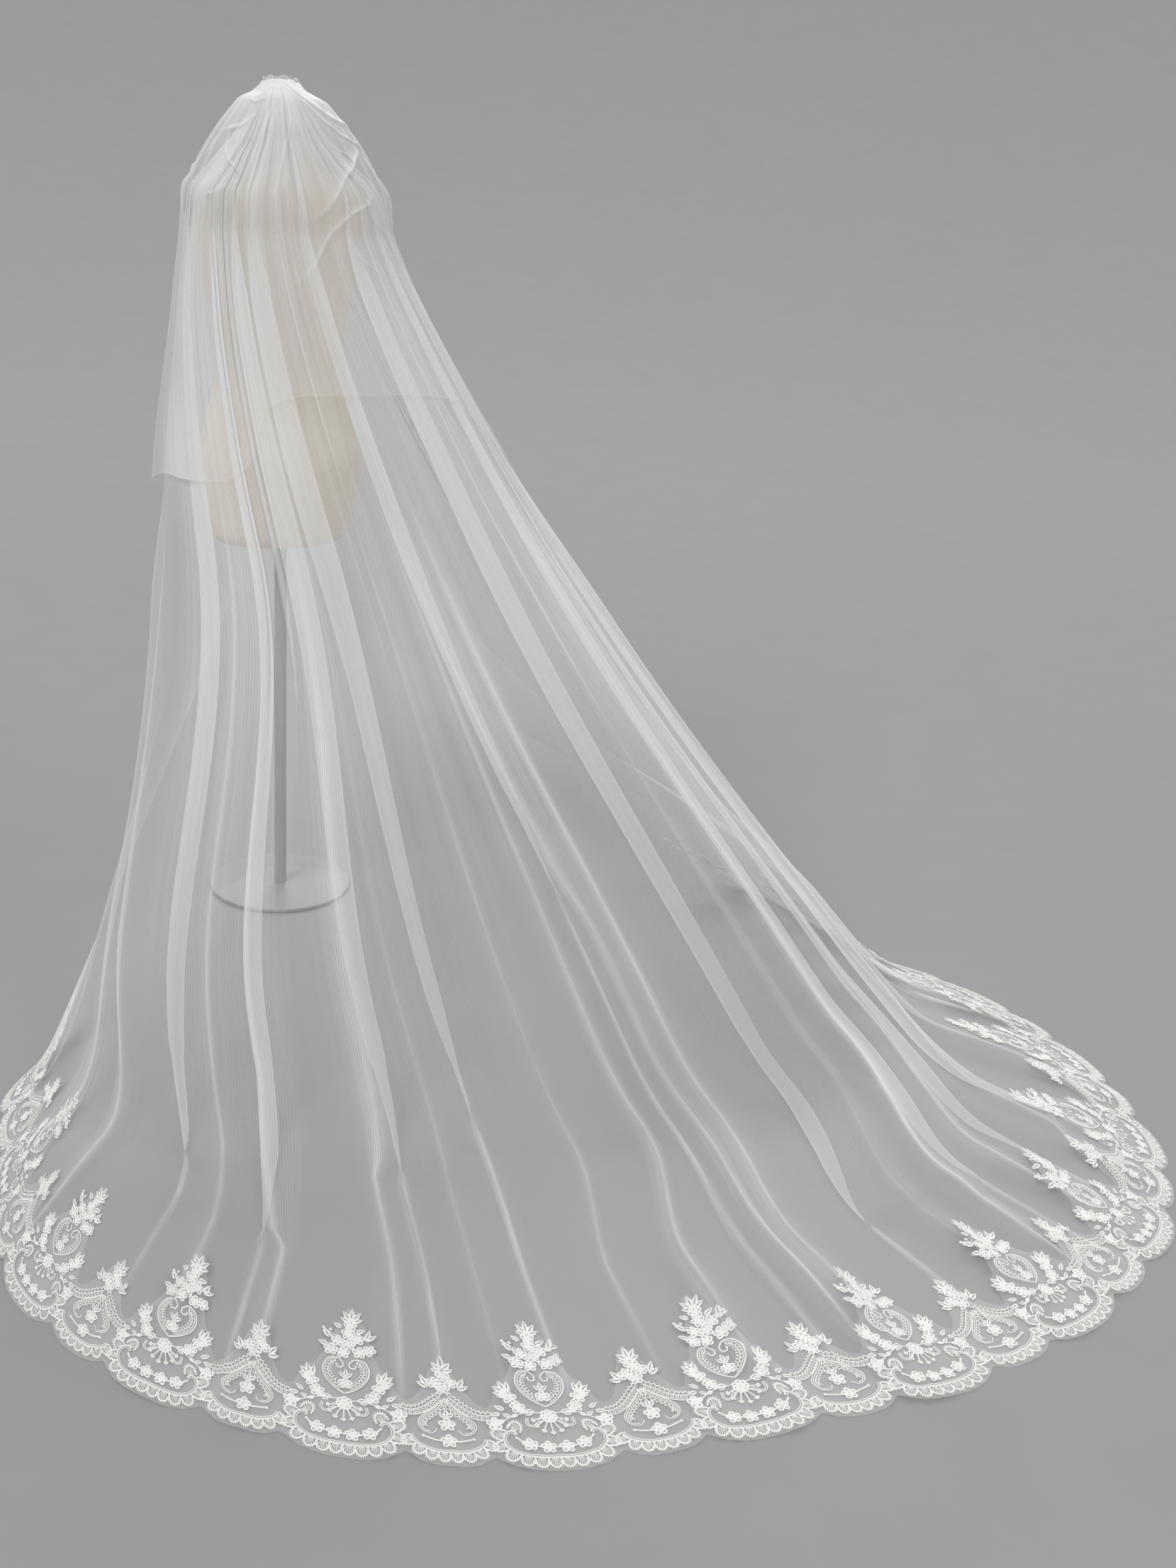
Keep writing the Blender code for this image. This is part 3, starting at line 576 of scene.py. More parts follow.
def buildLongTier():
    columns = clothColumns()
    drop = np.linspace(0, 1, rowsDrop + 1)[:-1] ** 1.15
    bend = 1 + np.linspace(0, 1, rowsBend + 1)[:-1]
    edge = vAtHemDistance(columns, scallop(columns))
    share = np.linspace(0, 1, rowsFloor + 1)[:, None]
    floorRows = 2 + (edge - 2)[None, :] * share
    above = np.concatenate([drop, bend])[:, None] * np.ones_like(columns)
    v = np.concatenate([above, floorRows])
    t = np.broadcast_to(columns, v.shape)
    points = longTierSurface(t, v)
    uvs = np.stack([t * longTier["clothWidth"], hemDistance(t, v)], -1)
    selvedge = 1 + 2.6 * ease(0.0016, 0.0, np.minimum(t, 1 - t) - 0.008)
    fullness = fullnessOf(smoothCloth, t, np.clip(v, 1e-3, 2.99), longTier["clothWidth"]) * folded(t, v)[2]
    fullness = fullness * selvedge
    piece = meshPiece("long_tier_tulle", points, gridFaces(*v.shape), tulle, uvs, fullness=fullness)
    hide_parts("long_tier")
    print("long tier", v.shape)
    return piece


longPiece = buildLongTier()

# The short tier: rings that stand off the long tier, down to its own cut edge
shortTier = {"gathers": 23, "flutes": 11, "swell": 0.011, "puff": 0.008, "columns": 420, "rows": 190,
             "roll": (-95, 15),
             "clothWidth": 1.8, "clothLength": 0.88, "flatArea": 1.34}
shortStandOff = {
    "height": (0.70, 1.20, 1.38, 1.44, 1.50, 1.55, 1.60, 1.628, 1.64),
    "right": (0.019, 0.019, 0.018, 0.018, 0.030, 0.040, 0.036, 0.012, 0.0021),
    "left": (0.014, 0.009, 0.007, 0.008, 0.015, 0.023, 0.022, 0.007, 0.0021),
    "behind": (0.019, 0.019, 0.020, 0.022, 0.030, 0.034, 0.026, 0.009, 0.0021),
    "inFront": (0.019, 0.020, 0.030, 0.040, 0.056, 0.056, 0.042, 0.013, 0.0021),
}
shortHem = {
    "azimuth": (-252, -225, -180, -140, -110, -75, -58, -42, -20, 10, 42, 62, 85, 100, 108),
    "height": (0.790, 0.800, 0.830, 0.900, 0.950, 0.955, 0.985, 1.090, 1.110, 1.110, 1.095, 1.020, 0.900,
               0.800, 0.755),
}


def shortSmooth(azimuth, v):
    bottom = through(azimuth, shortHem, "azimuth", "height")
    z = longTier["combTopZ"] - (longTier["combTopZ"] - bottom) * v
    base = hanging((azimuth / 360 + 0.5) % 1, z)
    right, left, behind, inFront = (through(z, shortStandOff, "height", side)
                                    for side in ("right", "left", "behind", "inFront"))
    onLeft = ease(0.25, -0.25, np.sin(np.radians(azimuth)))
    return liftTo(base + ring(np.radians(azimuth), right + (left - right) * onLeft, behind, inFront), z)


# Swirled creases of the hood, each a ridge along a line from one azimuth and height to another
hoodCreases = {
    "from": ((8, 1.629), (13, 1.601), (16, 1.544), (44, 1.523), (38, 1.443), (24, 1.492), (-66, 1.605), (-76, 1.551),
             (-68, 1.528), (-70, 1.437), (16, 1.373), (-150, 1.56), (-175, 1.52), (-215, 1.54), (-235, 1.50),
             (-130, 1.47), (-100, 1.50), (90, 1.52), (84, 1.45), (-30, 1.60), (-12, 1.57)),
    "to": ((69, 1.571), (56, 1.536), (30, 1.515), (5, 1.422), (-8, 1.320), (56, 1.344), (-45, 1.606), (-52, 1.573),
           (-51, 1.481), (-56, 1.455), (31, 1.308), (-118, 1.46), (-200, 1.40), (-190, 1.42), (-222, 1.33),
           (-152, 1.34), (-92, 1.38), (76, 1.40), (100, 1.30), (-40, 1.44), (-20, 1.36)),
    "halfWidth": (0.0060, 0.0035, 0.0030, 0.0065, 0.0055, 0.0035, 0.0030, 0.0045, 0.0040, 0.0035, 0.0030, 0.0050,
                  0.0055, 0.0050, 0.0045, 0.0045, 0.0040, 0.0050, 0.0045, 0.0035, 0.0035),
    "proud": (0.008, 0.006, 0.004, 0.012, 0.009, 0.006, 0.004, 0.007, 0.008, 0.005, 0.004, 0.008, 0.009, 0.008, 0.007,
              0.007, 0.006, 0.008, 0.006, 0.005, 0.005),
    "turnRadius": 0.17, "packed": 3.0,
}


# Each crease is a bell across its line and fades at both ends
def hoodCreased(azimuth, z):
    x = np.radians(azimuth) * hoodCreases["turnRadius"]
    lift = np.zeros_like(x)
    dense = np.ones_like(x)
    columns = ("from", "to", "halfWidth", "proud")
    for start, end, halfWidth, proud in zip(*(hoodCreases[k] for k in columns)):
        startX = math.radians(start[0]) * hoodCreases["turnRadius"]
        alongX = math.radians(end[0] - start[0]) * hoodCreases["turnRadius"]
        alongZ = end[1] - start[1]
        length = math.hypot(alongX, alongZ)
        share = ((x - startX) * alongX + (z - start[1]) * alongZ) / length ** 2
        bow = 0.10 * length * np.sin(np.pi * np.clip(share, 0, 1))
        off = ((x - startX) * alongZ - (z - start[1]) * alongX) / length - bow
        ends = ease(-0.25, 0.25, share) * ease(1.3, 0.75, share)
        crest = np.exp(-(off / halfWidth) ** 2) * ends
        lift = lift + proud * crest
        dense = dense + hoodCreases["packed"] * proud / 0.008 * np.exp(-(off / halfWidth * 2.2) ** 2) * ends
    return lift, dense


def shortSurface(azimuth, v):
    points = shortSmooth(azimuth, v)
    turns = np.radians(azimuth)
    flute = 0.5 + 0.5 * np.sin(turns * shortTier["flutes"] + 1.4 * np.sin(turns * 2))
    wave = 0.6 * gatherWave((azimuth / 360 + 0.5) % 1, points[..., 2], shortTier["gathers"])
    puff = np.sin(turns * 5 + 9 * v) * np.sin(turns * 2.3 - 14 * v + 1.0)
    normal = outward(shortSmooth, azimuth, np.clip(v, 1e-3, 0.999))
    normal[..., 2] = 0
    lift, _ = hoodCreased(azimuth, points[..., 2])
    lift = lift + shortTier["swell"] * flute * ease(0.35, 1.0, v) + wave
    lift = lift + shortTier["puff"] * (0.5 + 0.5 * puff) * ease(0.03, 0.16, v) * ease(0.75, 0.45, v) \
        * (1 - 0.7 * ease(0.2, -0.7, np.sin(turns)))
    return topEdge(points + normal * lift[..., None], v)


def buildShortTier():
    azimuth = np.linspace(shortHem["azimuth"][0] + 2, shortHem["azimuth"][-1], shortTier["columns"])
    v = np.linspace(0, 1, shortTier["rows"]) ** 1.2
    azimuth, v = np.meshgrid(azimuth, v)
    points = shortSurface(azimuth, v)
    uvs = np.stack([azimuth / 360 * shortTier["clothWidth"], v * shortTier["clothLength"]], -1)
    turn = shortTier["clothWidth"] / 360
    fullness = fullnessOf(shortSmooth, azimuth, np.clip(v, 1e-3, 0.999), turn, 0.5)
    middle, spread = shortTier["roll"]
    rolled = np.exp(-((azimuth - middle) / spread) ** 2) * ease(0.72, 1.0, v)
    hemmed = ease(0.994, 1.0, v)
    fullness = fullness * hoodCreased(azimuth, points[..., 2])[1] * (1 + 3.5 * rolled + 1.5 * hemmed)
    piece = meshPiece("short_tier_tulle", points, gridFaces(*v.shape), tulle, uvs, fullness=fullness)
    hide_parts("short_tier")
    print("short tier", v.shape)
    return piece


shortPiece = buildShortTier()

# The lace: an embroidered border on its own net, a tall motif in each repeat and a small one between two
# The lace is drawn flat first: x along the hem from the motif's middle, y in from the hem's outer line,
# and how proud each point stands, all in metres
class Needle:
    def __init__(self):
        self.points = []
        self.faces = []
        self.total = 0

    # m grids of points, (m, rows, columns, 3), all alike in their faces
    def grids(self, points, wrapped=False):
        count, rows, columns = points.shape[:3]
        faces = gridFaces(rows, columns, wrapped)
        starts = self.total + np.arange(count) * rows * columns
        self.points.append(points.reshape(-1, 3))
        self.faces.append((faces[None] + starts[:, None, None]).reshape(-1, 4))
        self.total += count * rows * columns

    # Cords along m paths, (m, n, 2): three points across, the middle one proud
    def cords(self, paths, width, rise, closed=False):
        width = width * lace["bold"]
        paths = np.asarray(paths, float)
        paths = paths[None] if paths.ndim == 2 else paths
        step = np.roll(paths, -1, 1) - np.roll(paths, 1, 1) if closed else np.gradient(paths, axis=1)
        side = np.stack([-step[..., 1], step[..., 0]], -1)
        side = side / np.maximum(np.linalg.norm(side, axis=-1), 1e-9)[..., None] * (width / 2)
        across = np.stack([paths + side, paths, paths - side], 1)
        proud = np.broadcast_to(np.array((0, rise, 0))[None, :, None, None], across.shape[:3] + (1,))
        self.grids(np.concatenate([across, proud], -1), closed)

    # Small round knots: a ring at the net and a smaller proud ring, closed by its middle
    def knots(self, places, radius, rise, sides=7):
        places = np.asarray(places, float).reshape(-1, 2)
        turn = np.linspace(0, 2 * np.pi, sides, endpoint=False)
        rim = np.stack([np.cos(turn), np.sin(turn)], -1)
        rings = np.stack([places[:, None] + rim * radius * share for share in (0.05, 0.6, 1.0)], 1)
        proud = np.broadcast_to(np.array((rise, rise * 0.8, 0))[None, :, None, None], rings.shape[:3] + (1,))
        self.grids(np.concatenate([rings, proud], -1), True)

    # Leaves: two satin halves beside an open vein, pointed at the tip
    def leaves(self, bases, angles, lengths, widths, rise=0.0008):
        bases = np.asarray(bases, float).reshape(-1, 2)
        angles = np.broadcast_to(np.asarray(angles, float), (len(bases),))
        lengths = np.broadcast_to(np.asarray(lengths, float), (len(bases),))
        widths = np.broadcast_to(np.asarray(widths, float), (len(bases),))
        s = np.linspace(0.03, 1.0, 7)
        half = np.sin(np.pi * s ** 0.8) ** 0.8
        half[-1] = 0.03
        inner = np.interp(s, (0, 0.5, 1), (0.03, 0.20, 0.0))
        lanes = np.stack([inner, 0.5 * (inner + half), half])
        lanes = np.maximum(lanes, inner)
        along = np.broadcast_to(s, lanes.shape)
        both = np.stack([lanes, -lanes[::-1]])
        proud = np.broadcast_to(np.array((0.3, 1.0, 0.0))[:, None], lanes.shape)
        prouds = np.stack([proud, proud[::-1]]) * rise
        local = np.stack([np.broadcast_to(along, both.shape), both], -1)
        turn = np.radians(angles)
        ahead = np.stack([np.cos(turn), np.sin(turn)], -1)
        left = np.stack([-ahead[:, 1], ahead[:, 0]], -1)
        flat = (bases[:, None, None, None] + ahead[:, None, None, None] * local[None, ..., :1]
                * lengths[:, None, None, None, None] + left[:, None, None, None] * local[None, ..., 1:]
                * widths[:, None, None, None, None] / 2)
        proud3 = np.broadcast_to(prouds[None, ..., None], flat.shape[:-1] + (1,))
        self.grids(np.concatenate([flat, proud3], -1).reshape(-1, 3, 7, 3))

    # Flowers: corded petal loops round a knot
    def flowers(self, places, radius, petals=5, turned=90.0):
        places = np.asarray(places, float).reshape(-1, 2)
        s = np.linspace(0, 2 * np.pi, 11, endpoint=False)
        along = 0.60 - 0.40 * np.cos(s)
        across = 0.30 * np.sin(s) * (1 - 0.25 * np.cos(s))
        turn = np.radians(turned + np.arange(petals) * 360 / petals)
        ahead = np.stack([np.cos(turn), np.sin(turn)], -1)[:, None]
        left = np.stack([-np.sin(turn), np.cos(turn)], -1)[:, None]
        loops = (ahead * along[None, :, None] + left * across[None, :, None]) * radius
        paths = (places[:, None, None] + loops[None]).reshape(-1, len(s), 2)
        self.cords(paths, radius * 0.24, 0.0009, True)
        veins = np.stack([ahead[:, 0] * 0.30, ahead[:, 0] * 0.72], 1) * radius
        self.cords((places[:, None, None] + veins[None]).reshape(-1, 2, 2), radius * 0.13, 0.0005)
        self.knots(places, radius * 0.24, 0.0011)


# A smooth path through a few places (Catmull-Rom), n points
def path(places, n, closed=False):
    p = np.asarray(places, float)
    ends = (p[-1:], p[:1], p[1:2]) if closed else (2 * p[:1] - p[1:2], 2 * p[-1:] - p[-2:-1], None)
    q = np.concatenate([ends[0], p, ends[1]] + ([ends[2]] if closed else []))
    spans = len(q) - 3
    u = np.linspace(0, spans, n, endpoint=not closed)
    i = np.minimum(u.astype(int), spans - 1)
    f = (u - i)[:, None]
    a, b, c, d = q[i], q[i + 1], q[i + 2], q[i + 3]
    return 0.5 * (2 * b + (c - a) * f + (2 * a - 5 * b + 4 * c - d) * f ** 2 + (3 * b - a - 3 * c + d) * f ** 3)


# The same path with even spacing, and its side direction
def evenly(line, n):
    run = np.concatenate([[0], np.cumsum(np.linalg.norm(np.diff(line, axis=0), axis=1))])
    s = np.linspace(0, run[-1], n)
    even = np.stack([np.interp(s, run, line[:, 0]), np.interp(s, run, line[:, 1])], -1)
    step = np.gradient(even, axis=0)
    side = np.stack([-step[:, 1], step[:, 0]], -1) / np.linalg.norm(step, axis=1)[:, None]
    return even, side, run[-1]


def mirrored(line):
    return line * np.array((-1, 1))


def beside(line, shift):
    even, side, _ = evenly(line, len(line))
    return even + side * shift


# A looping trim between two cords: an omega wave about the path
def meander(line, period, height, shift=0.0):
    even, side, length = evenly(line, 400)
    count = max(3, int(length / period))
    s = np.linspace(0, 1, count * 10 + 1)
    wave = 2 * np.pi * s * count
    at = np.clip(s + 0.16 * period / length * np.sin(2 * wave), 0, 1) * 399
    spot = np.stack([np.interp(at, np.arange(400), even[:, k]) for k in (0, 1)], -1)
    lean = np.stack([np.interp(at, np.arange(400), side[:, k]) for k in (0, 1)], -1)
    return spot + lean * (shift + 0.5 * height * np.clip(1.5 * np.sin(wave), -1, 1))[:, None]


# Fans along a base line: an outer arc, ribs from the base, and a row of short lashes
def fans(needle, ribs, line, count, reach, side=-1):
    even, lean, length = evenly(line, count * 2 + 1)
    bases = even[1::2]
    out = lean[1::2] * side
    tangent = np.stack([out[:, 1], -out[:, 0]], -1)
    half = length / count / 2 * 1.06
    reach = np.broadcast_to(reach, (count,))[:, None, None]
    s = np.linspace(0, np.pi, 11)
    arc = (bases[:, None] + tangent[:, None] * (half * np.cos(s))[None, :, None]
           + out[:, None] * (np.sin(s) ** 0.7)[None, :, None] * reach)
    needle.cords(arc, 0.0026, 0.0011)
    q = np.linspace(-0.78, 0.78, 6)
    foot = bases[:, None] + tangent[:, None] * (half * 0.45 * q)[None, :, None]
    tip = (bases[:, None] + tangent[:, None] * (half * 0.95 * q)[None, :, None]
           + out[:, None] * ((1 - q * q) ** 0.35 * 0.9)[None, :, None] * reach)
    ribs.cords(np.stack([foot, tip], 2).reshape(-1, 2, 2), 0.0010, 0.0006)
    q = np.linspace(0.12, np.pi - 0.12, 10)
    edge = (bases[:, None] + tangent[:, None] * (half * np.cos(q))[None, :, None]
            + out[:, None] * (np.sin(q) ** 0.7)[None, :, None] * reach)
    away = tangent[:, None] * (0.5 * np.cos(q))[None, :, None] + out[:, None]
    ribs.cords(np.stack([edge, edge + away * 0.0044], 2).reshape(-1, 2, 2), 0.0008, 0.0004)


# Half outlines of the tall and the small motif, mirrored to make the whole, and what stands in them
tallMotif = {
    "rim": ((0, 0.0235), (0.030, 0.0245), (0.052, 0.030), (0.066, 0.042), (0.0695, 0.056), (0.064, 0.068),
            (0.055, 0.070), (0.050, 0.063)),
    "rimFans": 14, "fanReach": 0.0172,
    "bar": ((0, 0.042), (0.022, 0.043), (0.042, 0.049), (0.052, 0.058)),
    "barFlowers": ((-0.036, 0.0465), (-0.012, 0.042), (0.013, 0.042), (0.037, 0.047)), "barRadius": 0.0100,
    "burst": (0.0, 0.098), "burstRays": 7, "rayLength": 0.027,
    "crescent": ((0.012, 0.090), (0.024, 0.078), (0.034, 0.082), (0.033, 0.094)),
    "heart": ((0, 0.116), (0.016, 0.126), (0.031, 0.143), (0.0355, 0.162), (0.028, 0.180), (0.014, 0.184),
              (0.0045, 0.175)),
    "heartCurl": ((0.0045, 0.175), (0.006, 0.167), (0.013, 0.166), (0.016, 0.172)),
    "spray": ((0.020, 0.199), (-0.006, 0.196), (-0.026, 0.199), (0.003, 0.214), (-0.015, 0.218), (0.017, 0.226),
              (0.001, 0.236), (0.004, 0.253)),
    "sprayRadius": 0.0108,
    "sideFlowers": ((0.041, 0.113), (0.050, 0.130)),
    "garland": ((0.010, 0.104), (0.026, 0.104), (0.045, 0.099), (0.062, 0.090), (0.077, 0.084)),
}
smallMotif = {
    "rim": ((0, 0.030), (0.018, 0.031), (0.034, 0.036), (0.047, 0.045), (0.0515, 0.055)),
    "rimFans": 8, "fanReach": 0.0160,
    "scroll": ((0.004, 0.134), (0.016, 0.124), (0.030, 0.110), (0.046, 0.100), (0.064, 0.098)),
    "hook": ((0.004, 0.126), (0.012, 0.113), (0.031, 0.095), (0.040, 0.080), (0.034, 0.066), (0.021, 0.063),
             (0.015, 0.070)),
    "spray": ((0.0, 0.146), (-0.012, 0.158), (0.011, 0.160), (0.002, 0.172)),
    "sprayRadius": 0.0104,
}


def wholeLine(half, n):
    line = path(half, n)
    return np.concatenate([mirrored(line)[::-1], line[1:]])


def drawTall(cord, satin, fine):
    m = tallMotif
    rim = wholeLine(m["rim"], 60)
    cord.cords(evenly(rim, 110)[0], 0.0024, 0.0010)
    cord.cords(evenly(beside(rim, 0.0034), 90)[0], 0.0013, 0.0008)
    fans(cord, fine, rim, m["rimFans"], m["fanReach"])
    bar = wholeLine(m["bar"], 24)
    cord.cords(evenly(bar, 40)[0], 0.0025, 0.0010)
    satin.flowers(m["barFlowers"], m["barRadius"])
    cord.knots((bar[0], bar[-1]), 0.0024, 0.001)
    # starburst: rays with knobs, a flower at its middle
    burst = np.array(m["burst"])
    turn = np.radians(np.linspace(-162, -18, m["burstRays"]))
    reach = m["rayLength"] * (1 - 0.12 * np.cos(2 * turn))[:, None]
    rays = np.stack([np.cos(turn), np.sin(turn)], -1)
    cord.cords(np.stack([burst + rays * 0.006, burst + rays * reach], 1), 0.0020, 0.0010)
    knobs = burst + rays * reach
    across = np.stack([-rays[:, 1], rays[:, 0]], -1)
    trio = np.stack([knobs + rays * 0.0018, knobs + across * 0.0020, knobs - across * 0.0020], 1)
    cord.knots(trio, 0.0023, 0.0011)
    satin.flowers([burst], 0.0115, 7)
    for flip in (1, -1):
        side = np.array((flip, 1))
        crescent = path(m["crescent"], 16)
        for shift in (0.0, 0.0028):
            cord.cords(beside(crescent, shift) * side, 0.0014, 0.0008)
        heart = path(m["heart"], 34)
        curl = path(m["heartCurl"], 12)
        cord.cords(np.concatenate([heart, curl[1:]]) * side, 0.0021, 0.0010)
        inner = heart[3:-6]
        cord.cords(beside(inner, 0.0034) * side, 0.0014, 0.0008)
        fine.cords(meander(inner, 0.0072, 0.0046, 0.0078) * side, 0.0018, 0.0009)
        cord.knots(evenly(beside(inner, 0.0122), 11)[0] * side, 0.0017, 0.0010, 6)
        satin.flowers(np.array(m["sideFlowers"]) * side, 0.0105)
        tip = np.array((0.052, 0.137)) * side
        angles = 90 - flip * np.array((-8, 22, 52, 82, 108))
        satin.leaves(np.tile(tip, (5, 1)), angles, (0.023, 0.026, 0.024, 0.020, 0.016), 0.0105)
        low = np.array(((0.018, 0.104), (0.028, 0.107), (0.060, 0.108), (0.067, 0.101)))
        satin.leaves(low * side, 90 - flip * np.array((70, 100, 60, 95)), (0.016, 0.015, 0.016, 0.014), 0.0078)
        garland = path(m["garland"], 22)
        cord.cords(garland * side, 0.0016, 0.0009)
        stations = garland[4::3]
        lean = 90 - flip * np.where(np.arange(len(stations)) % 2, 62, 118)
        satin.leaves(stations * side, lean, 0.0125, 0.0068)
        satin.flowers(garland[-1:] * side, 0.0108)
    # inside the heart: one flower under a sprig of leaves
    satin.flowers([(0.0, 0.136)], 0.0100)
    satin.leaves(np.tile((0.0, 0.147), (3, 1)), (90, 138, 42), (0.017, 0.014, 0.014), 0.0075)
    # the spray on top: flowers, leaves between them, and a crown of leaves
    satin.flowers(m["spray"], m["sprayRadius"])
    satin.flowers([(0.035, 0.203)], 0.0105, 5, 60)
    satin.leaves(((0.030, 0.222), (0.029, 0.224), (-0.028, 0.222), (-0.030, 0.206), (0.013, 0.240), (-0.010, 0.247)),
                 (75, 25, 128, 160, 20, 155), (0.024, 0.020, 0.020, 0.018, 0.017, 0.016), 0.0100)
    satin.leaves(np.tile((0.005, 0.262), (5, 1)), (88, 52, 126, 14, 166), (0.028, 0.026, 0.025, 0.020, 0.019),
                 0.0105)
    sprig = path(((-0.012, 0.226), (-0.026, 0.231), (-0.040, 0.240)), 10)
    cord.cords(sprig, 0.0013, 0.0007)
    cord.knots((sprig[-1], sprig[6] + (0.002, 0.005), sprig[4] - (0.001, 0.005), sprig[8] - (0.002, 0.0045)),
               0.0032, 0.0011)


def drawSmall(cord, satin, fine):
    m = smallMotif
    rim = wholeLine(m["rim"], 40)
    cord.cords(evenly(rim, 60)[0], 0.0024, 0.0010)
    cord.cords(evenly(beside(rim, 0.0034), 50)[0], 0.0013, 0.0008)
    fans(cord, fine, rim, m["rimFans"], m["fanReach"])
    bar = path(((-0.034, 0.056), (-0.016, 0.051), (0.0, 0.050), (0.016, 0.051), (0.034, 0.056)), 24)
    cord.cords(bar, 0.0023, 0.0010)
    cord.knots((bar[0], bar[-1]), 0.0026, 0.001)
    satin.flowers([(0.0, 0.050)], 0.0105)
    for flip in (1, -1):
        side = np.array((flip, 1))
        scroll = path(m["scroll"], 30)
        for shift in (0.0, -0.0085):
            cord.cords(beside(scroll, shift) * side, 0.0018, 0.0009)
        fine.cords(meander(scroll, 0.0072, 0.0050, 0.0056) * side, 0.0018, 0.0009)
        ringPlaces = evenly(beside(scroll, -0.0042), 12)[0][1:-1] * side
        s = np.linspace(0, 2 * np.pi, 8, endpoint=False)
        loops = ringPlaces[:, None] + np.stack([np.cos(s), np.sin(s)], -1) * 0.0022
        cord.cords(loops, 0.0013, 0.0008, True)
        hook = path(m["hook"], 26)
        for shift in (0.0, -0.0028, -0.0056):
            cord.cords(beside(hook, shift)[: 26 - int(-shift * 1400)] * side, 0.0014, 0.0008)
        fine.cords(meander(hook[:17], 0.0072, 0.0044, -0.0094) * side, 0.0016, 0.0008)
        satin.leaves((np.array((0.022, 0.150)) * side, np.array((0.021, 0.148)) * side),
                     90 - flip * np.array((28, 72)), (0.022, 0.018), 0.0098)
    satin.flowers([(0.0, 0.080)], 0.0110)
    satin.leaves(np.tile((0.0, 0.092), (3, 1)), (90, 140, 40), (0.016, 0.014, 0.014), 0.0072)
    satin.flowers(m["spray"], m["sprayRadius"])
    satin.leaves(np.tile((0.002, 0.181), (5, 1)), (92, 54, 130, 16, 168), (0.028, 0.024, 0.023, 0.018, 0.017),
                 0.0100)


# Puts flat lace on the cloth: x runs along the hem from a motif's middle, y runs in from the hem's outer line
def onCloth(flat, middle):
    t = np.clip(middle + flat[..., 0] / hemLength, 0.004, 0.996)
    v = vAtHemDistance(t, flat[..., 1])
    lifted = outward(longTierSurface, t, v, 2e-4) * (lace["offCloth"] + flat[..., 2:])
    return longTierSurface(t, v) + lifted


def repeatOnCloth(needle, middles):
    points = np.concatenate(needle.points)
    faces = np.concatenate(needle.faces)
    placed = onCloth(np.broadcast_to(points, (len(middles),) + points.shape), np.asarray(middles)[:, None])
    starts = (np.arange(len(middles)) * len(points))[:, None, None]
    return placed.reshape(-1, 3), (faces[None] + starts).reshape(-1, 4)


def threadMaterial(name, color, roughness, grain):
    thread = Shader(name)
    fine = thread.noise(thread.place(), 1400.0, 3.0, 0.6)
    broad = thread.noise(thread.place(), 60.0, 3.0)
    dark = rgba(*(c * 0.90 for c in color))
    tone = thread.mixColor((fine * 0.6 + broad * 0.4).rise(0.3, 0.7), dark, rgba(*color))
    thread.set(baseColor=tone, roughness=roughness, sheen=0.3, sheenRoughness=0.5, specular=0.35,
               normal=thread.bump(fine, grain, 0.0004))
    return thread.material


def buildLace():
    cordThread = threadMaterial("lace_cord_thread", (0.90, 0.885, 0.85), 0.62, 0.5)
    satinThread = threadMaterial("lace_satin_thread", (0.93, 0.92, 0.89), 0.48, 0.35)
    fineThread = threadMaterial("lace_fine_thread", (0.86, 0.85, 0.82), 0.65, 0.4)
    tallMiddles = (np.arange(lace["repeats"]) + 0.5) / lace["repeats"]
    smallMiddles = np.arange(1, lace["repeats"]) / lace["repeats"]
    tall = [Needle() for _ in range(3)]
    small = [Needle() for _ in range(3)]
    drawTall(*tall)
    drawSmall(*small)
    pieces = []
    names = (("lace_cords", cordThread), ("lace_flowers", satinThread), ("lace_fine_lines", fineThread))
    for (name, material), high, low in zip(names, tall, small):
        highPoints, highFaces = repeatOnCloth(high, tallMiddles)
        lowPoints, lowFaces = repeatOnCloth(low, smallMiddles)
        piece = meshPiece(name, np.concatenate([highPoints, lowPoints]),
                          np.concatenate([highFaces, lowFaces + len(highPoints)]), material)
        print(name, len(piece.data.polygons) * 2, "triangles")
        pieces.append(piece)
    return pieces


# Sequins and small set stones on the flowers: shallow cups with a pearly film
sequins = {"tall": ((-0.036, 0.0465), (0.037, 0.047), (0.0, 0.098), (0.041, 0.113), (-0.050, 0.130), (0.0, 0.136),
                    (0.003, 0.214), (-0.026, 0.199), (0.035, 0.203), (0.077, 0.084)),
           "small": ((0.0, 0.050), (0.0, 0.080), (0.0, 0.146), (-0.012, 0.158)), "radius": 0.0019, "rise": 0.0006}


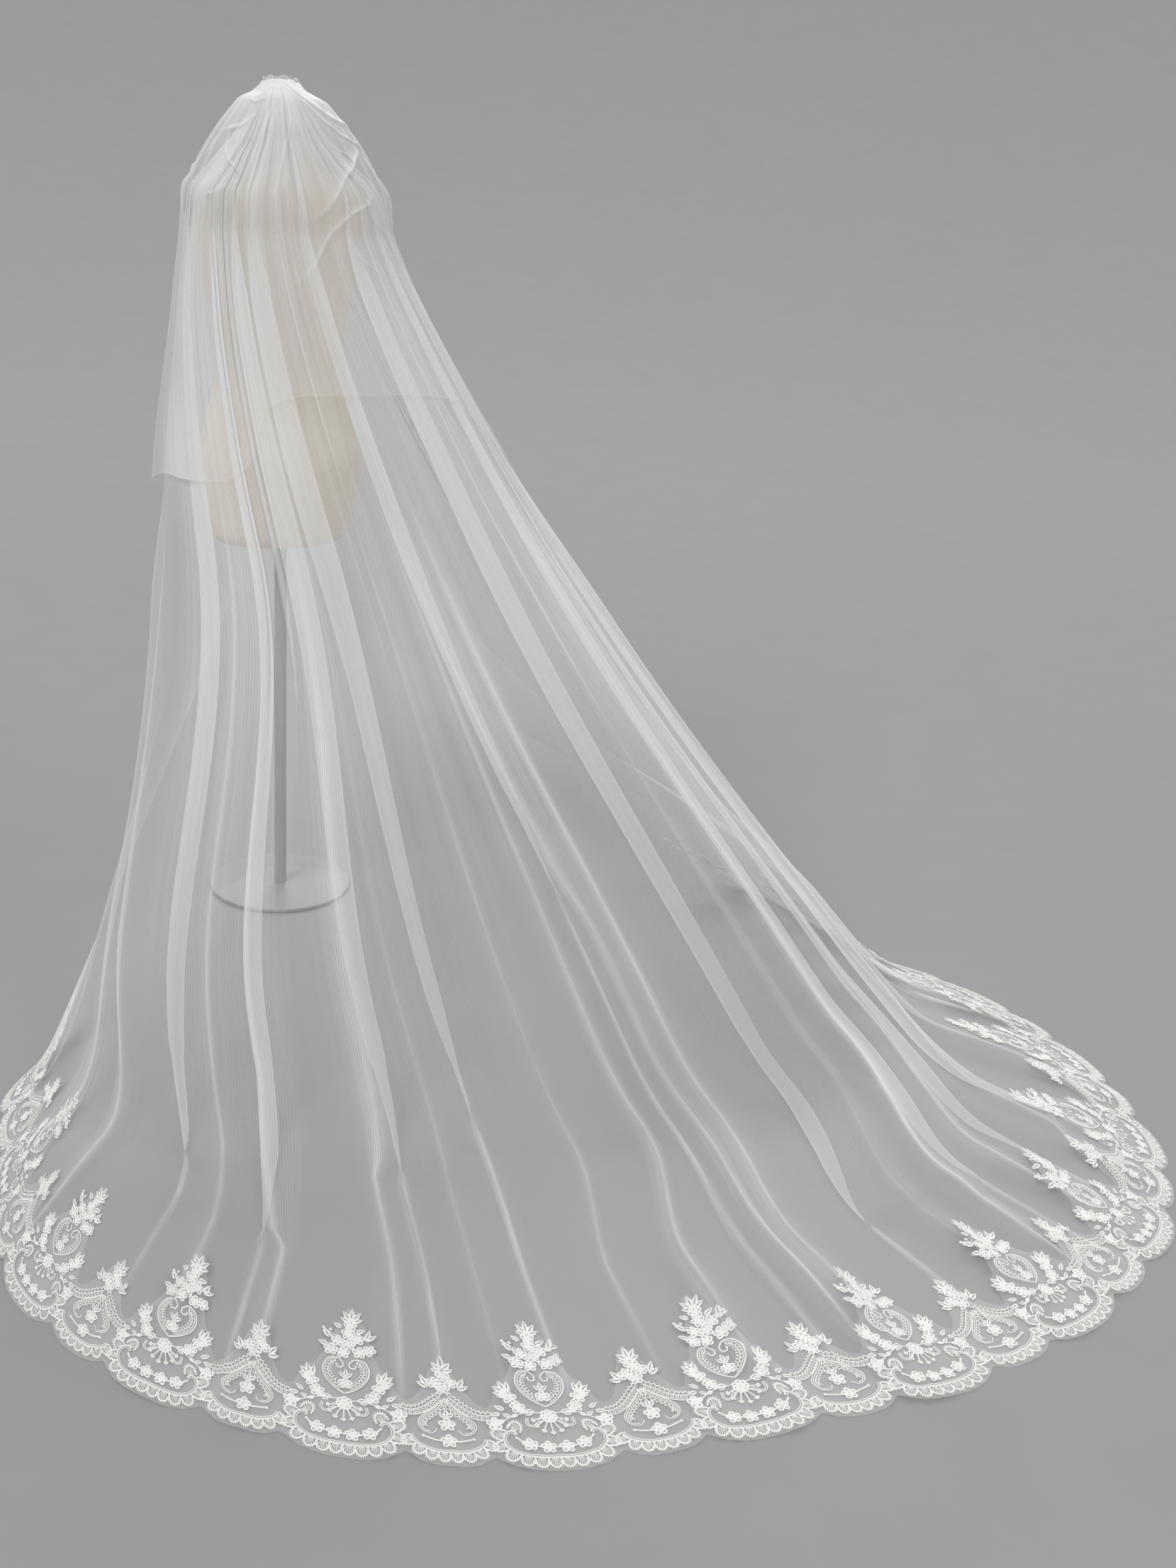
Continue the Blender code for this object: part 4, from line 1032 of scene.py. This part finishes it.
def buildSequins():
    pearl = Shader("sequin_pearl")
    cloud = pearl.noise(pearl.place(), 900.0, 1.0)
    pearl.set(baseColor=pearl.mixColor(cloud, rgba(0.86, 0.90, 0.93), rgba(0.95, 0.90, 0.93)), roughness=0.14,
              metallic=cloud * 0.5 + 0.2, coat=0.8)
    parts = []
    total = 0
    tallMiddles = (np.arange(lace["repeats"]) + 0.5) / lace["repeats"]
    smallMiddles = np.arange(1, lace["repeats"]) / lace["repeats"]
    for key, middles in (("tall", tallMiddles), ("small", smallMiddles)):
        cup = Needle()
        turn = np.linspace(0, 2 * np.pi, 10, endpoint=False)
        rim = np.stack([np.cos(turn), np.sin(turn)], -1)
        places = np.array(sequins[key])[:, None]
        rings = np.stack([places + rim * sequins["radius"] * share for share in (0.15, 0.75, 1.0)], 1)
        proud = np.array((0.0014, 0.0014, 0.0014 + sequins["rise"]))[None, :, None, None]
        cup.grids(np.concatenate([rings, np.broadcast_to(proud, rings.shape[:3] + (1,))], -1), True)
        points, faces = repeatOnCloth(cup, middles)
        parts.append((points, faces + total))
        total += len(points)
    points, faces = (np.concatenate(column) for column in zip(*parts))
    return meshPiece("lace_sequins", points, faces, pearl.material)


# The border's own net, cut round the motifs: heights of its inner line by the phase of a repeat
laceNet = {"phase": (0.0, 0.035, 0.07, 0.10, 0.15, 0.20, 0.235, 0.27, 0.33, 0.36, 0.40, 0.425, 0.455, 0.49, 0.53,
                     0.575, 0.61, 0.63, 0.68, 0.73, 0.765, 0.80, 0.85, 0.90, 0.93, 0.965, 1.0),
           "height": (0.212, 0.200, 0.176, 0.150, 0.122, 0.112, 0.120, 0.158, 0.166, 0.186, 0.214, 0.240, 0.262,
                      0.290, 0.292, 0.262, 0.246, 0.208, 0.166, 0.158, 0.120, 0.112, 0.122, 0.150, 0.176, 0.200,
                      0.212),
           "columns": 840, "rows": 12}


def buildLaceNet():
    t = np.linspace(0.010, 0.990, laceNet["columns"])
    top = np.interp((t * lace["repeats"]) % 1, laceNet["phase"], laceNet["height"])
    share = np.linspace(1, 0, laceNet["rows"])[:, None]
    inward = scallop(t) + (top - scallop(t)) * share
    flat = np.stack([np.broadcast_to(t * hemLength, inward.shape), inward, np.full_like(inward, -0.0003)], -1)
    uvs = np.stack([flat[..., 0] * 0.7, flat[..., 1]], -1)
    return meshPiece("lace_net", onCloth(flat, 0.0), gridFaces(*inward.shape), laceTulle, uvs,
                     fullness=np.ones_like(inward))


laceTulle = tulleMaterial("lace_ground_net", lace["netCover"])
lacePieces = buildLace() + [buildSequins()]
laceGround = buildLaceNet()
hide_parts("lace_border")


# The dress form: the same rings as its solid, drawn through smoothly, with a dip along each sewn seam
formRings = {
    "height": (0.768, 0.776, 0.800, 0.870, 0.935, 1.020, 1.120, 1.200, 1.290, 1.360, 1.410, 1.440, 1.463, 1.478,
               1.492, 1.505, 1.520, 1.539, 1.545),
    "halfWidth": (0.080, 0.128, 0.146, 0.161, 0.168, 0.152, 0.128, 0.134, 0.152, 0.164, 0.171, 0.168, 0.148,
                  0.112, 0.078, 0.058, 0.052, 0.050, 0.047),
    "behind": (0.060, 0.094, 0.108, 0.120, 0.122, 0.100, 0.084, 0.088, 0.100, 0.104, 0.100, 0.092, 0.080, 0.068,
               0.060, 0.054, 0.050, 0.048, 0.045),
    "inFront": (0.060, 0.092, 0.104, 0.112, 0.112, 0.100, 0.090, 0.108, 0.126, 0.108, 0.088, 0.078, 0.068,
                0.060, 0.056, 0.053, 0.051, 0.050, 0.047),
}
dressForm = {"columns": 288, "rows": 150, "seams": (0, 38, 90, 142, 180, 218, 270, 322), "seamDip": 0.0008,
             "seamHalf": 0.7, "stitchGap": 0.0026, "stitchRadius": 0.00022}


def formSurface(azimuth, z):
    sides = (through(z, formRings, "height", side) for side in ("halfWidth", "behind", "inFront"))
    angle = np.radians(azimuth)
    plan = ring(angle, *sides)
    toSeam = np.min(np.abs((azimuth[..., None] - np.array(dressForm["seams"]) + 180) % 360 - 180), -1)
    dip = dressForm["seamDip"] * np.exp(-(toSeam / dressForm["seamHalf"]) ** 2) * ease(0.775, 0.80, z)
    return liftTo(plan * (1 - dip / np.linalg.norm(plan, axis=-1))[..., None], z)


def jerseyMaterial():
    jersey = Shader("form_cotton_jersey")
    x, y, _ = jersey.split(jersey.uv())
    ribs = (x * 3300.0).math("SINE") * (y * 2600.0 + (x * 3300.0).math("SINE") * 0.8).math("SINE")
    cloud = jersey.noise(jersey.place(), 7.0, 4.0)
    slub = jersey.noise(jersey.place(), 260.0, 2.0)
    tone = jersey.mixColor((cloud * 0.7 + slub * 0.3).rise(0.32, 0.68), rgba(0.84, 0.73, 0.57),
                           rgba(0.91, 0.83, 0.69))
    jersey.set(baseColor=tone, roughness=0.86, sheen=0.35, sheenRoughness=0.5, specular=0.25,
               normal=jersey.bump(ribs * 0.5 + slub * 0.5, 0.35, 0.0004))
    return jersey.material


# Rings of a small tube about a path that lies on a surface; its normals keep the tube from twisting
def tubes(paths, normals, radius, sides=5):
    step = np.gradient(paths, axis=-2)
    step = step / np.linalg.norm(step, axis=-1)[..., None]
    across = np.cross(step, normals)
    across = across / np.linalg.norm(across, axis=-1)[..., None]
    turn = np.linspace(0, 2 * np.pi, sides, endpoint=False)[:, None]
    circle = (np.cos(turn)[..., None] * normals[..., None, :, :] + np.sin(turn)[..., None]
              * across[..., None, :, :])
    return paths[..., None, :, :] + radius * circle


# Faces of many tubes: each is a strip of rings, joined round, its first and last ring closed by a face
def tubeFaces(count, sides, length):
    first = gridFaces(length, sides, True)
    starts = (np.arange(count) * sides * length)[:, None, None]
    walls = (first[None] + starts).reshape(-1, 4)
    ends = np.arange(sides)
    caps = np.stack([ends[::-1], (length - 1) * sides + ends])
    return walls.tolist() + (caps[None] + starts).reshape(-1, sides).tolist()


def tubePiece(name, paths, normals, radius, material, sides=5):
    rings = np.swapaxes(tubes(paths, normals, radius, sides), -3, -2)
    count, length = paths.shape[:2]
    return meshPiece(name, rings, tubeFaces(count, sides, length), material)


def closedRings(points):
    rows, columns = points.shape[:2]
    faces = gridFaces(rows, columns, True)[:, ::-1].tolist()
    faces.append(list(range(columns))[::-1])
    faces.append(list(range((rows - 1) * columns, rows * columns)))
    return faces


def buildForm():
    azimuth = np.arange(dressForm["columns"]) * 360 / dressForm["columns"]
    levels = np.array(formRings["height"])
    share = np.linspace(0, 1, dressForm["rows"])
    z = levels[0] + (levels[-1] - levels[0]) * (share - 0.10 * np.sin(2 * np.pi * share))
    azimuth, z = np.meshgrid(azimuth, z)
    points = formSurface(azimuth, z)
    uvs = np.stack([np.radians(azimuth) * 0.15, z], -1)
    piece = meshPiece("dress_form_cotton", points, closedRings(points), jerseyMaterial(), uvs)
    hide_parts("dress_form")
    # two rows of short stitches beside each seam
    z = np.arange(0.80, 1.50, 0.0052)
    rows = []
    for seam in dressForm["seams"]:
        for side in (-1, 1):
            rows.append(np.stack([np.full_like(z, seam + side * 1.4), z], -1))
    stitches = np.concatenate(rows)
    span = np.array((0.0, 0.5, 1.0))[None, :] * dressForm["stitchGap"]
    height = stitches[:, 1:] + span
    about = np.broadcast_to(stitches[:, :1], height.shape)
    paths = formSurface(about, height)
    normals = outwardPlan(about)
    paths = paths + normals * (0.0001 + 0.0002 * np.array((0, 1, 0))[None, :, None])
    thread = threadMaterial("form_seam_thread", (0.74, 0.64, 0.50), 0.6, 0.3)
    tubePiece("form_seam_stitches", paths, normals, dressForm["stitchRadius"], thread, 4)
    print("dress form", points.shape, "stitches", len(stitches))


def outwardPlan(azimuth):
    angle = np.radians(azimuth)
    return np.stack([np.sin(angle), -np.cos(angle), np.zeros_like(angle)], -1)


# A turned piece: its profile of radius and height, rounded by short arcs, carried round the pole's axis
def turnedPiece(name, profile, material, node, sides=96):
    profile = np.asarray(profile, float)
    turn = np.arange(sides) * 2 * np.pi / sides
    radius, height = profile[:, 0][:, None], profile[:, 1][:, None]
    points = np.stack([radius * np.sin(turn), -radius * np.cos(turn), height + 0 * turn], -1)
    piece = meshPiece(name, points, closedRings(points), material)
    piece.data.set_sharp_from_angle(angle=math.radians(40))
    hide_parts(node)
    return piece


# A rounded corner of a profile: a quarter circle from one angle to another
def corner(middle, radius, start, end, count=7):
    angle = np.radians(np.linspace(start, end, count))
    return np.stack([middle[0] + radius * np.cos(angle), middle[1] + radius * np.sin(angle)], -1)


standFinish = {"color": (0.29, 0.29, 0.29), "brushed": (0.33, 0.33, 0.33)}


def paintMaterial():
    paint = Shader("stand_paint_satin")
    peel = paint.noise(paint.place(), 420.0, 2.0)
    worn = paint.noise(paint.place(), 9.0, 5.0, 0.6)
    tone = paint.mixColor(worn.rise(0.3, 0.7), rgba(*standFinish["color"]), rgba(*standFinish["brushed"]))
    paint.set(baseColor=tone, roughness=worn * 0.15 + 0.50, coat=0.05, specular=0.3,
              normal=paint.bump(peel, 0.12, 0.0002))
    return paint.material


def buildStand():
    paint = paintMaterial()
    (_, low), (_, high) = [(c[0], c[2]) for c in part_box("base_plate")]
    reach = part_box("base_plate")[1][0]
    bead = 0.0022
    base = np.concatenate([[(0.004, low), (reach - bead, low)],
                           corner((reach - bead, low + bead), bead, -90, 0),
                           corner((reach - bead, high - bead), bead, 0, 90),
                           [(reach * 0.45, high), (0.004, high)]])
    turnedPiece("base_plate_painted", base, paint, "base_plate", 128)
    (_, low), (_, high) = [(c[0], c[2]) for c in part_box("pole")]
    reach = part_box("pole")[1][0]
    collar = 0.0006
    pole = [(reach * 0.9, low), (reach, low + collar), (reach, high - collar), (reach * 0.9, high)]
    turnedPiece("pole_painted", pole, paint, "pole", 64)
    (_, low), (_, high) = [(c[0], c[2]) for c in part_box("neck_cap")]
    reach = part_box("neck_cap")[1][0]
    bead = 0.0024
    cap = np.concatenate([[(0.004, low), (reach - bead, low)], corner((reach - bead, low + bead), bead, -90, 0),
                          corner((reach - bead, high - bead), bead, 0, 90), [(reach * 0.8, high), (0.004, high)]])
    turnedPiece("neck_cap_turned", cap, paint, "neck_cap")
    (_, low), (_, high) = [(c[0], c[2]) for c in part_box("finial")]
    knob = 0.020
    middle = high - knob
    post = 0.009
    foot = math.degrees(math.asin(post / knob)) - 90
    finial = np.concatenate([[(post, low), (post, middle - knob * 0.93)], corner((0, middle), knob, foot, 84, 24)])
    turnedPiece("finial_turned", finial, paint, "finial")
    print("stand ready")


# The comb keeps its solid; thread wraps hold the gathers to its bar, and the heading stands up as a ruffle
comb = {"wraps": 17, "threadRadius": 0.00035, "ruffles": 34, "ruffleRise": 0.0075, "ruffleSwell": 0.0022}
bow = {"middle": (0.012, -0.004, 1.6395), "reach": 0.0075, "tall": 0.0085, "ribbon": 0.012, "turned": 36}


def buildComb():
    milky = Shader("comb_plastic_milky")
    cloud = milky.noise(milky.place(), 120.0, 2.0)
    milky.set(baseColor=milky.mixColor(cloud, rgba(0.84, 0.83, 0.79), rgba(0.92, 0.91, 0.87)), roughness=0.22,
              alpha=0.82, coat=0.4, normal=milky.bump(cloud, 0.1, 0.0002))
    bar = bpy.data.objects["comb"]
    bar.data.materials.clear()
    bar.data.materials.append(milky.material)
    (lowX, lowY, _), (highX, highY, top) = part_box("comb")
    turn = np.linspace(0, 2 * np.pi, 25)
    places = np.linspace(lowX + 0.003, highX - 0.003, comb["wraps"])
    half = (highY - lowY) / 2 + comb["threadRadius"]
    middle = top - 0.0035
    rounded = np.sign(np.cos(turn)) * np.abs(np.cos(turn)) ** 0.4
    upright = np.sign(np.sin(turn)) * np.abs(np.sin(turn)) ** 0.4
    paths = np.stack([places[:, None] + 0.0012 * turn / np.pi, np.broadcast_to(half * rounded, (len(places), 25)),
                      np.broadcast_to(middle + 0.0042 * upright, (len(places), 25))], -1)
    normals = np.stack([0 * turn, np.cos(turn), np.sin(turn)], -1)
    thread = threadMaterial("heading_thread", (0.90, 0.89, 0.87), 0.5, 0.3)
    return tubePiece("comb_thread_wraps", paths, np.broadcast_to(normals, paths.shape), comb["threadRadius"], thread)


# The ruffle: the long tier's top ring carried up, waving in and out more the higher it goes
def buildHeading():
    t = np.linspace(0.0, 1.0, 420)
    rise = np.linspace(-0.35, 1.0, 10)
    t, rise = np.meshgrid(t, rise)
    theta = 2 * np.pi * (t - 0.5)
    wave = np.sin(2 * np.pi * comb["ruffles"] * t + 1.3 * np.sin(5 * theta))
    swell = comb["ruffleSwell"] * wave * np.clip(rise, 0.1, 1)
    plan = ring(theta, 0.0345 + swell, 0.0088 + swell, 0.0088 + swell)
    uneven = 0.75 + 0.25 * np.sin(7 * theta + 1.0)
    z = longTier["combTopZ"] + comb["ruffleRise"] * rise * uneven - longTier["topDroop"] * np.sin(theta) ** 2
    points = liftTo(plan, z)
    piece = meshPiece("gathered_heading", points, gridFaces(*t.shape), tulle, np.stack([t * 3.0, rise * 0.01], -1),
                      fullness=np.full_like(t, 7.0))
    # a small loop of the same net, pinched at its foot
    turn, across = np.meshgrid(np.linspace(-0.35 * np.pi, 1.35 * np.pi, 60), np.linspace(-0.5, 0.5, 14))
    x, y, z = bow["middle"]
    facing = math.radians(bow["turned"])
    pinch = 0.35 + 0.65 * ease(-0.8, 0.6, np.sin(turn))
    along = bow["reach"] * np.cos(turn)
    deep = across * bow["ribbon"] * pinch + 0.0012 * np.sin(across * 22 + turn)
    points = np.stack([x + along * math.cos(facing) + deep * math.sin(facing),
                       y - along * math.sin(facing) + deep * math.cos(facing),
                       z + bow["tall"] * 0.5 * (1 + np.sin(turn))], -1)
    loop = meshPiece("heading_loop", points, gridFaces(*turn.shape), tulle, np.stack([across, turn * 0.02], -1),
                     fullness=np.full_like(turn, 5.0))
    return piece, loop


buildForm()
buildStand()
buildComb()
headingPieces = buildHeading()

# The camera: behind the wearer's left, level with the head, pitched down and rolled a little
camera = {"stands": (-1.4645, -3.1386, 1.59), "heading": 36.0, "pitch": 21.0, "roll": 4.0, "focalPixels": 2400.0,
          "imageWidth": 1659, "sensor": 36.0}

# Stage: a plain pale floor and soft studio light
stage = {"floorColor": (0.335, 0.335, 0.34), "halfWidth": 16.0, "near": -12.0, "far": 5.0, "radius": 13.0}


def buildStage():
    floor = Shader("studio_floor")
    grain = floor.noise(floor.place(), 6.0, 4.0)
    low = stage["floorColor"]
    floor.set(baseColor=floor.mixColor(grain, rgba(*(c * 0.97 for c in low)), rgba(*(c * 1.03 for c in low))),
              roughness=0.85, specular=0.2)
    # the floor and an eighth of a circle rising behind it: one profile carried across, straight ahead of the camera
    turn = np.linspace(0, np.pi / 4, 41)
    ahead = np.concatenate([[stage["near"]], stage["far"] + stage["radius"] * np.sin(turn)])
    up = np.concatenate([[0], stage["radius"] * (1 - np.cos(turn))]) - 0.0005
    heading = math.radians(camera["heading"])
    across = np.linspace(-stage["halfWidth"], stage["halfWidth"], 2)
    ahead, across = np.meshgrid(ahead, across)
    x = ahead * math.sin(heading) + across * math.cos(heading)
    y = ahead * math.cos(heading) - across * math.sin(heading)
    points = np.stack([x, y, np.broadcast_to(up, x.shape)], -1)
    mesh = bpy.data.meshes.new("studio_sweep")
    mesh.from_pydata(points.reshape(-1, 3).tolist(), [], gridFaces(*x.shape).tolist())
    mesh.shade_smooth()
    mesh.materials.append(floor.material)
    sweep = bpy.data.objects.new("studio_sweep", mesh)
    scene.collection.objects.link(sweep)
    world = bpy.data.worlds.new("studio_air")
    scene.world = world
    world.use_nodes = True
    world.node_tree.nodes["Background"].inputs["Color"].default_value = rgba(0.75, 0.75, 0.76)
    world.node_tree.nodes["Background"].inputs["Strength"].default_value = 0.42


# Broad even lights, so that the floor is as bright far off as near: where each comes from, its strength,
# and how wide it is in degrees
studioLights = {
    "key": {"from": (-0.62, -0.30, 0.72), "strength": 1.62, "wide": 34},
    "rim": {"from": (0.45, 0.70, 0.62), "strength": 1.10, "wide": 30},
    "fill": {"from": (0.60, -0.60, 0.55), "strength": 0.75, "wide": 60},
}


def buildLights():
    for name, light in studioLights.items():
        data = bpy.data.lights.new(name, "SUN")
        data.energy = light["strength"]
        data.angle = math.radians(light["wide"])
        lamp = bpy.data.objects.new(name, data)
        lamp.rotation_euler = (-Vector(light["from"])).to_track_quat("-Z", "Y").to_euler()
        scene.collection.objects.link(lamp)


def buildCamera():
    data = bpy.data.cameras.new("photo_camera")
    data.sensor_fit = "HORIZONTAL"
    data.sensor_width = camera["sensor"]
    data.lens = camera["focalPixels"] / camera["imageWidth"] * camera["sensor"]
    heading = math.radians(camera["heading"])
    pitch = math.radians(camera["pitch"])
    roll = math.radians(camera["roll"])
    forward = Vector((math.sin(heading) * math.cos(pitch), math.cos(heading) * math.cos(pitch), -math.sin(pitch)))
    level = forward.cross(Vector((0, 0, 1))).normalized()
    upright = level.cross(forward)
    right = level * math.cos(roll) + upright * math.sin(roll)
    top = upright * math.cos(roll) - level * math.sin(roll)
    turned = Matrix((right, top, -forward)).transposed().to_4x4()
    turned.translation = Vector(camera["stands"])
    thing = bpy.data.objects.new("photo_camera", data)
    thing.matrix_world = turned
    scene.collection.objects.link(thing)
    scene.camera = thing


buildStage()
buildLights()
buildCamera()
scene.cycles.transparent_max_bounces = 48
scene.view_settings.view_transform = "Standard"
print("stage ready")
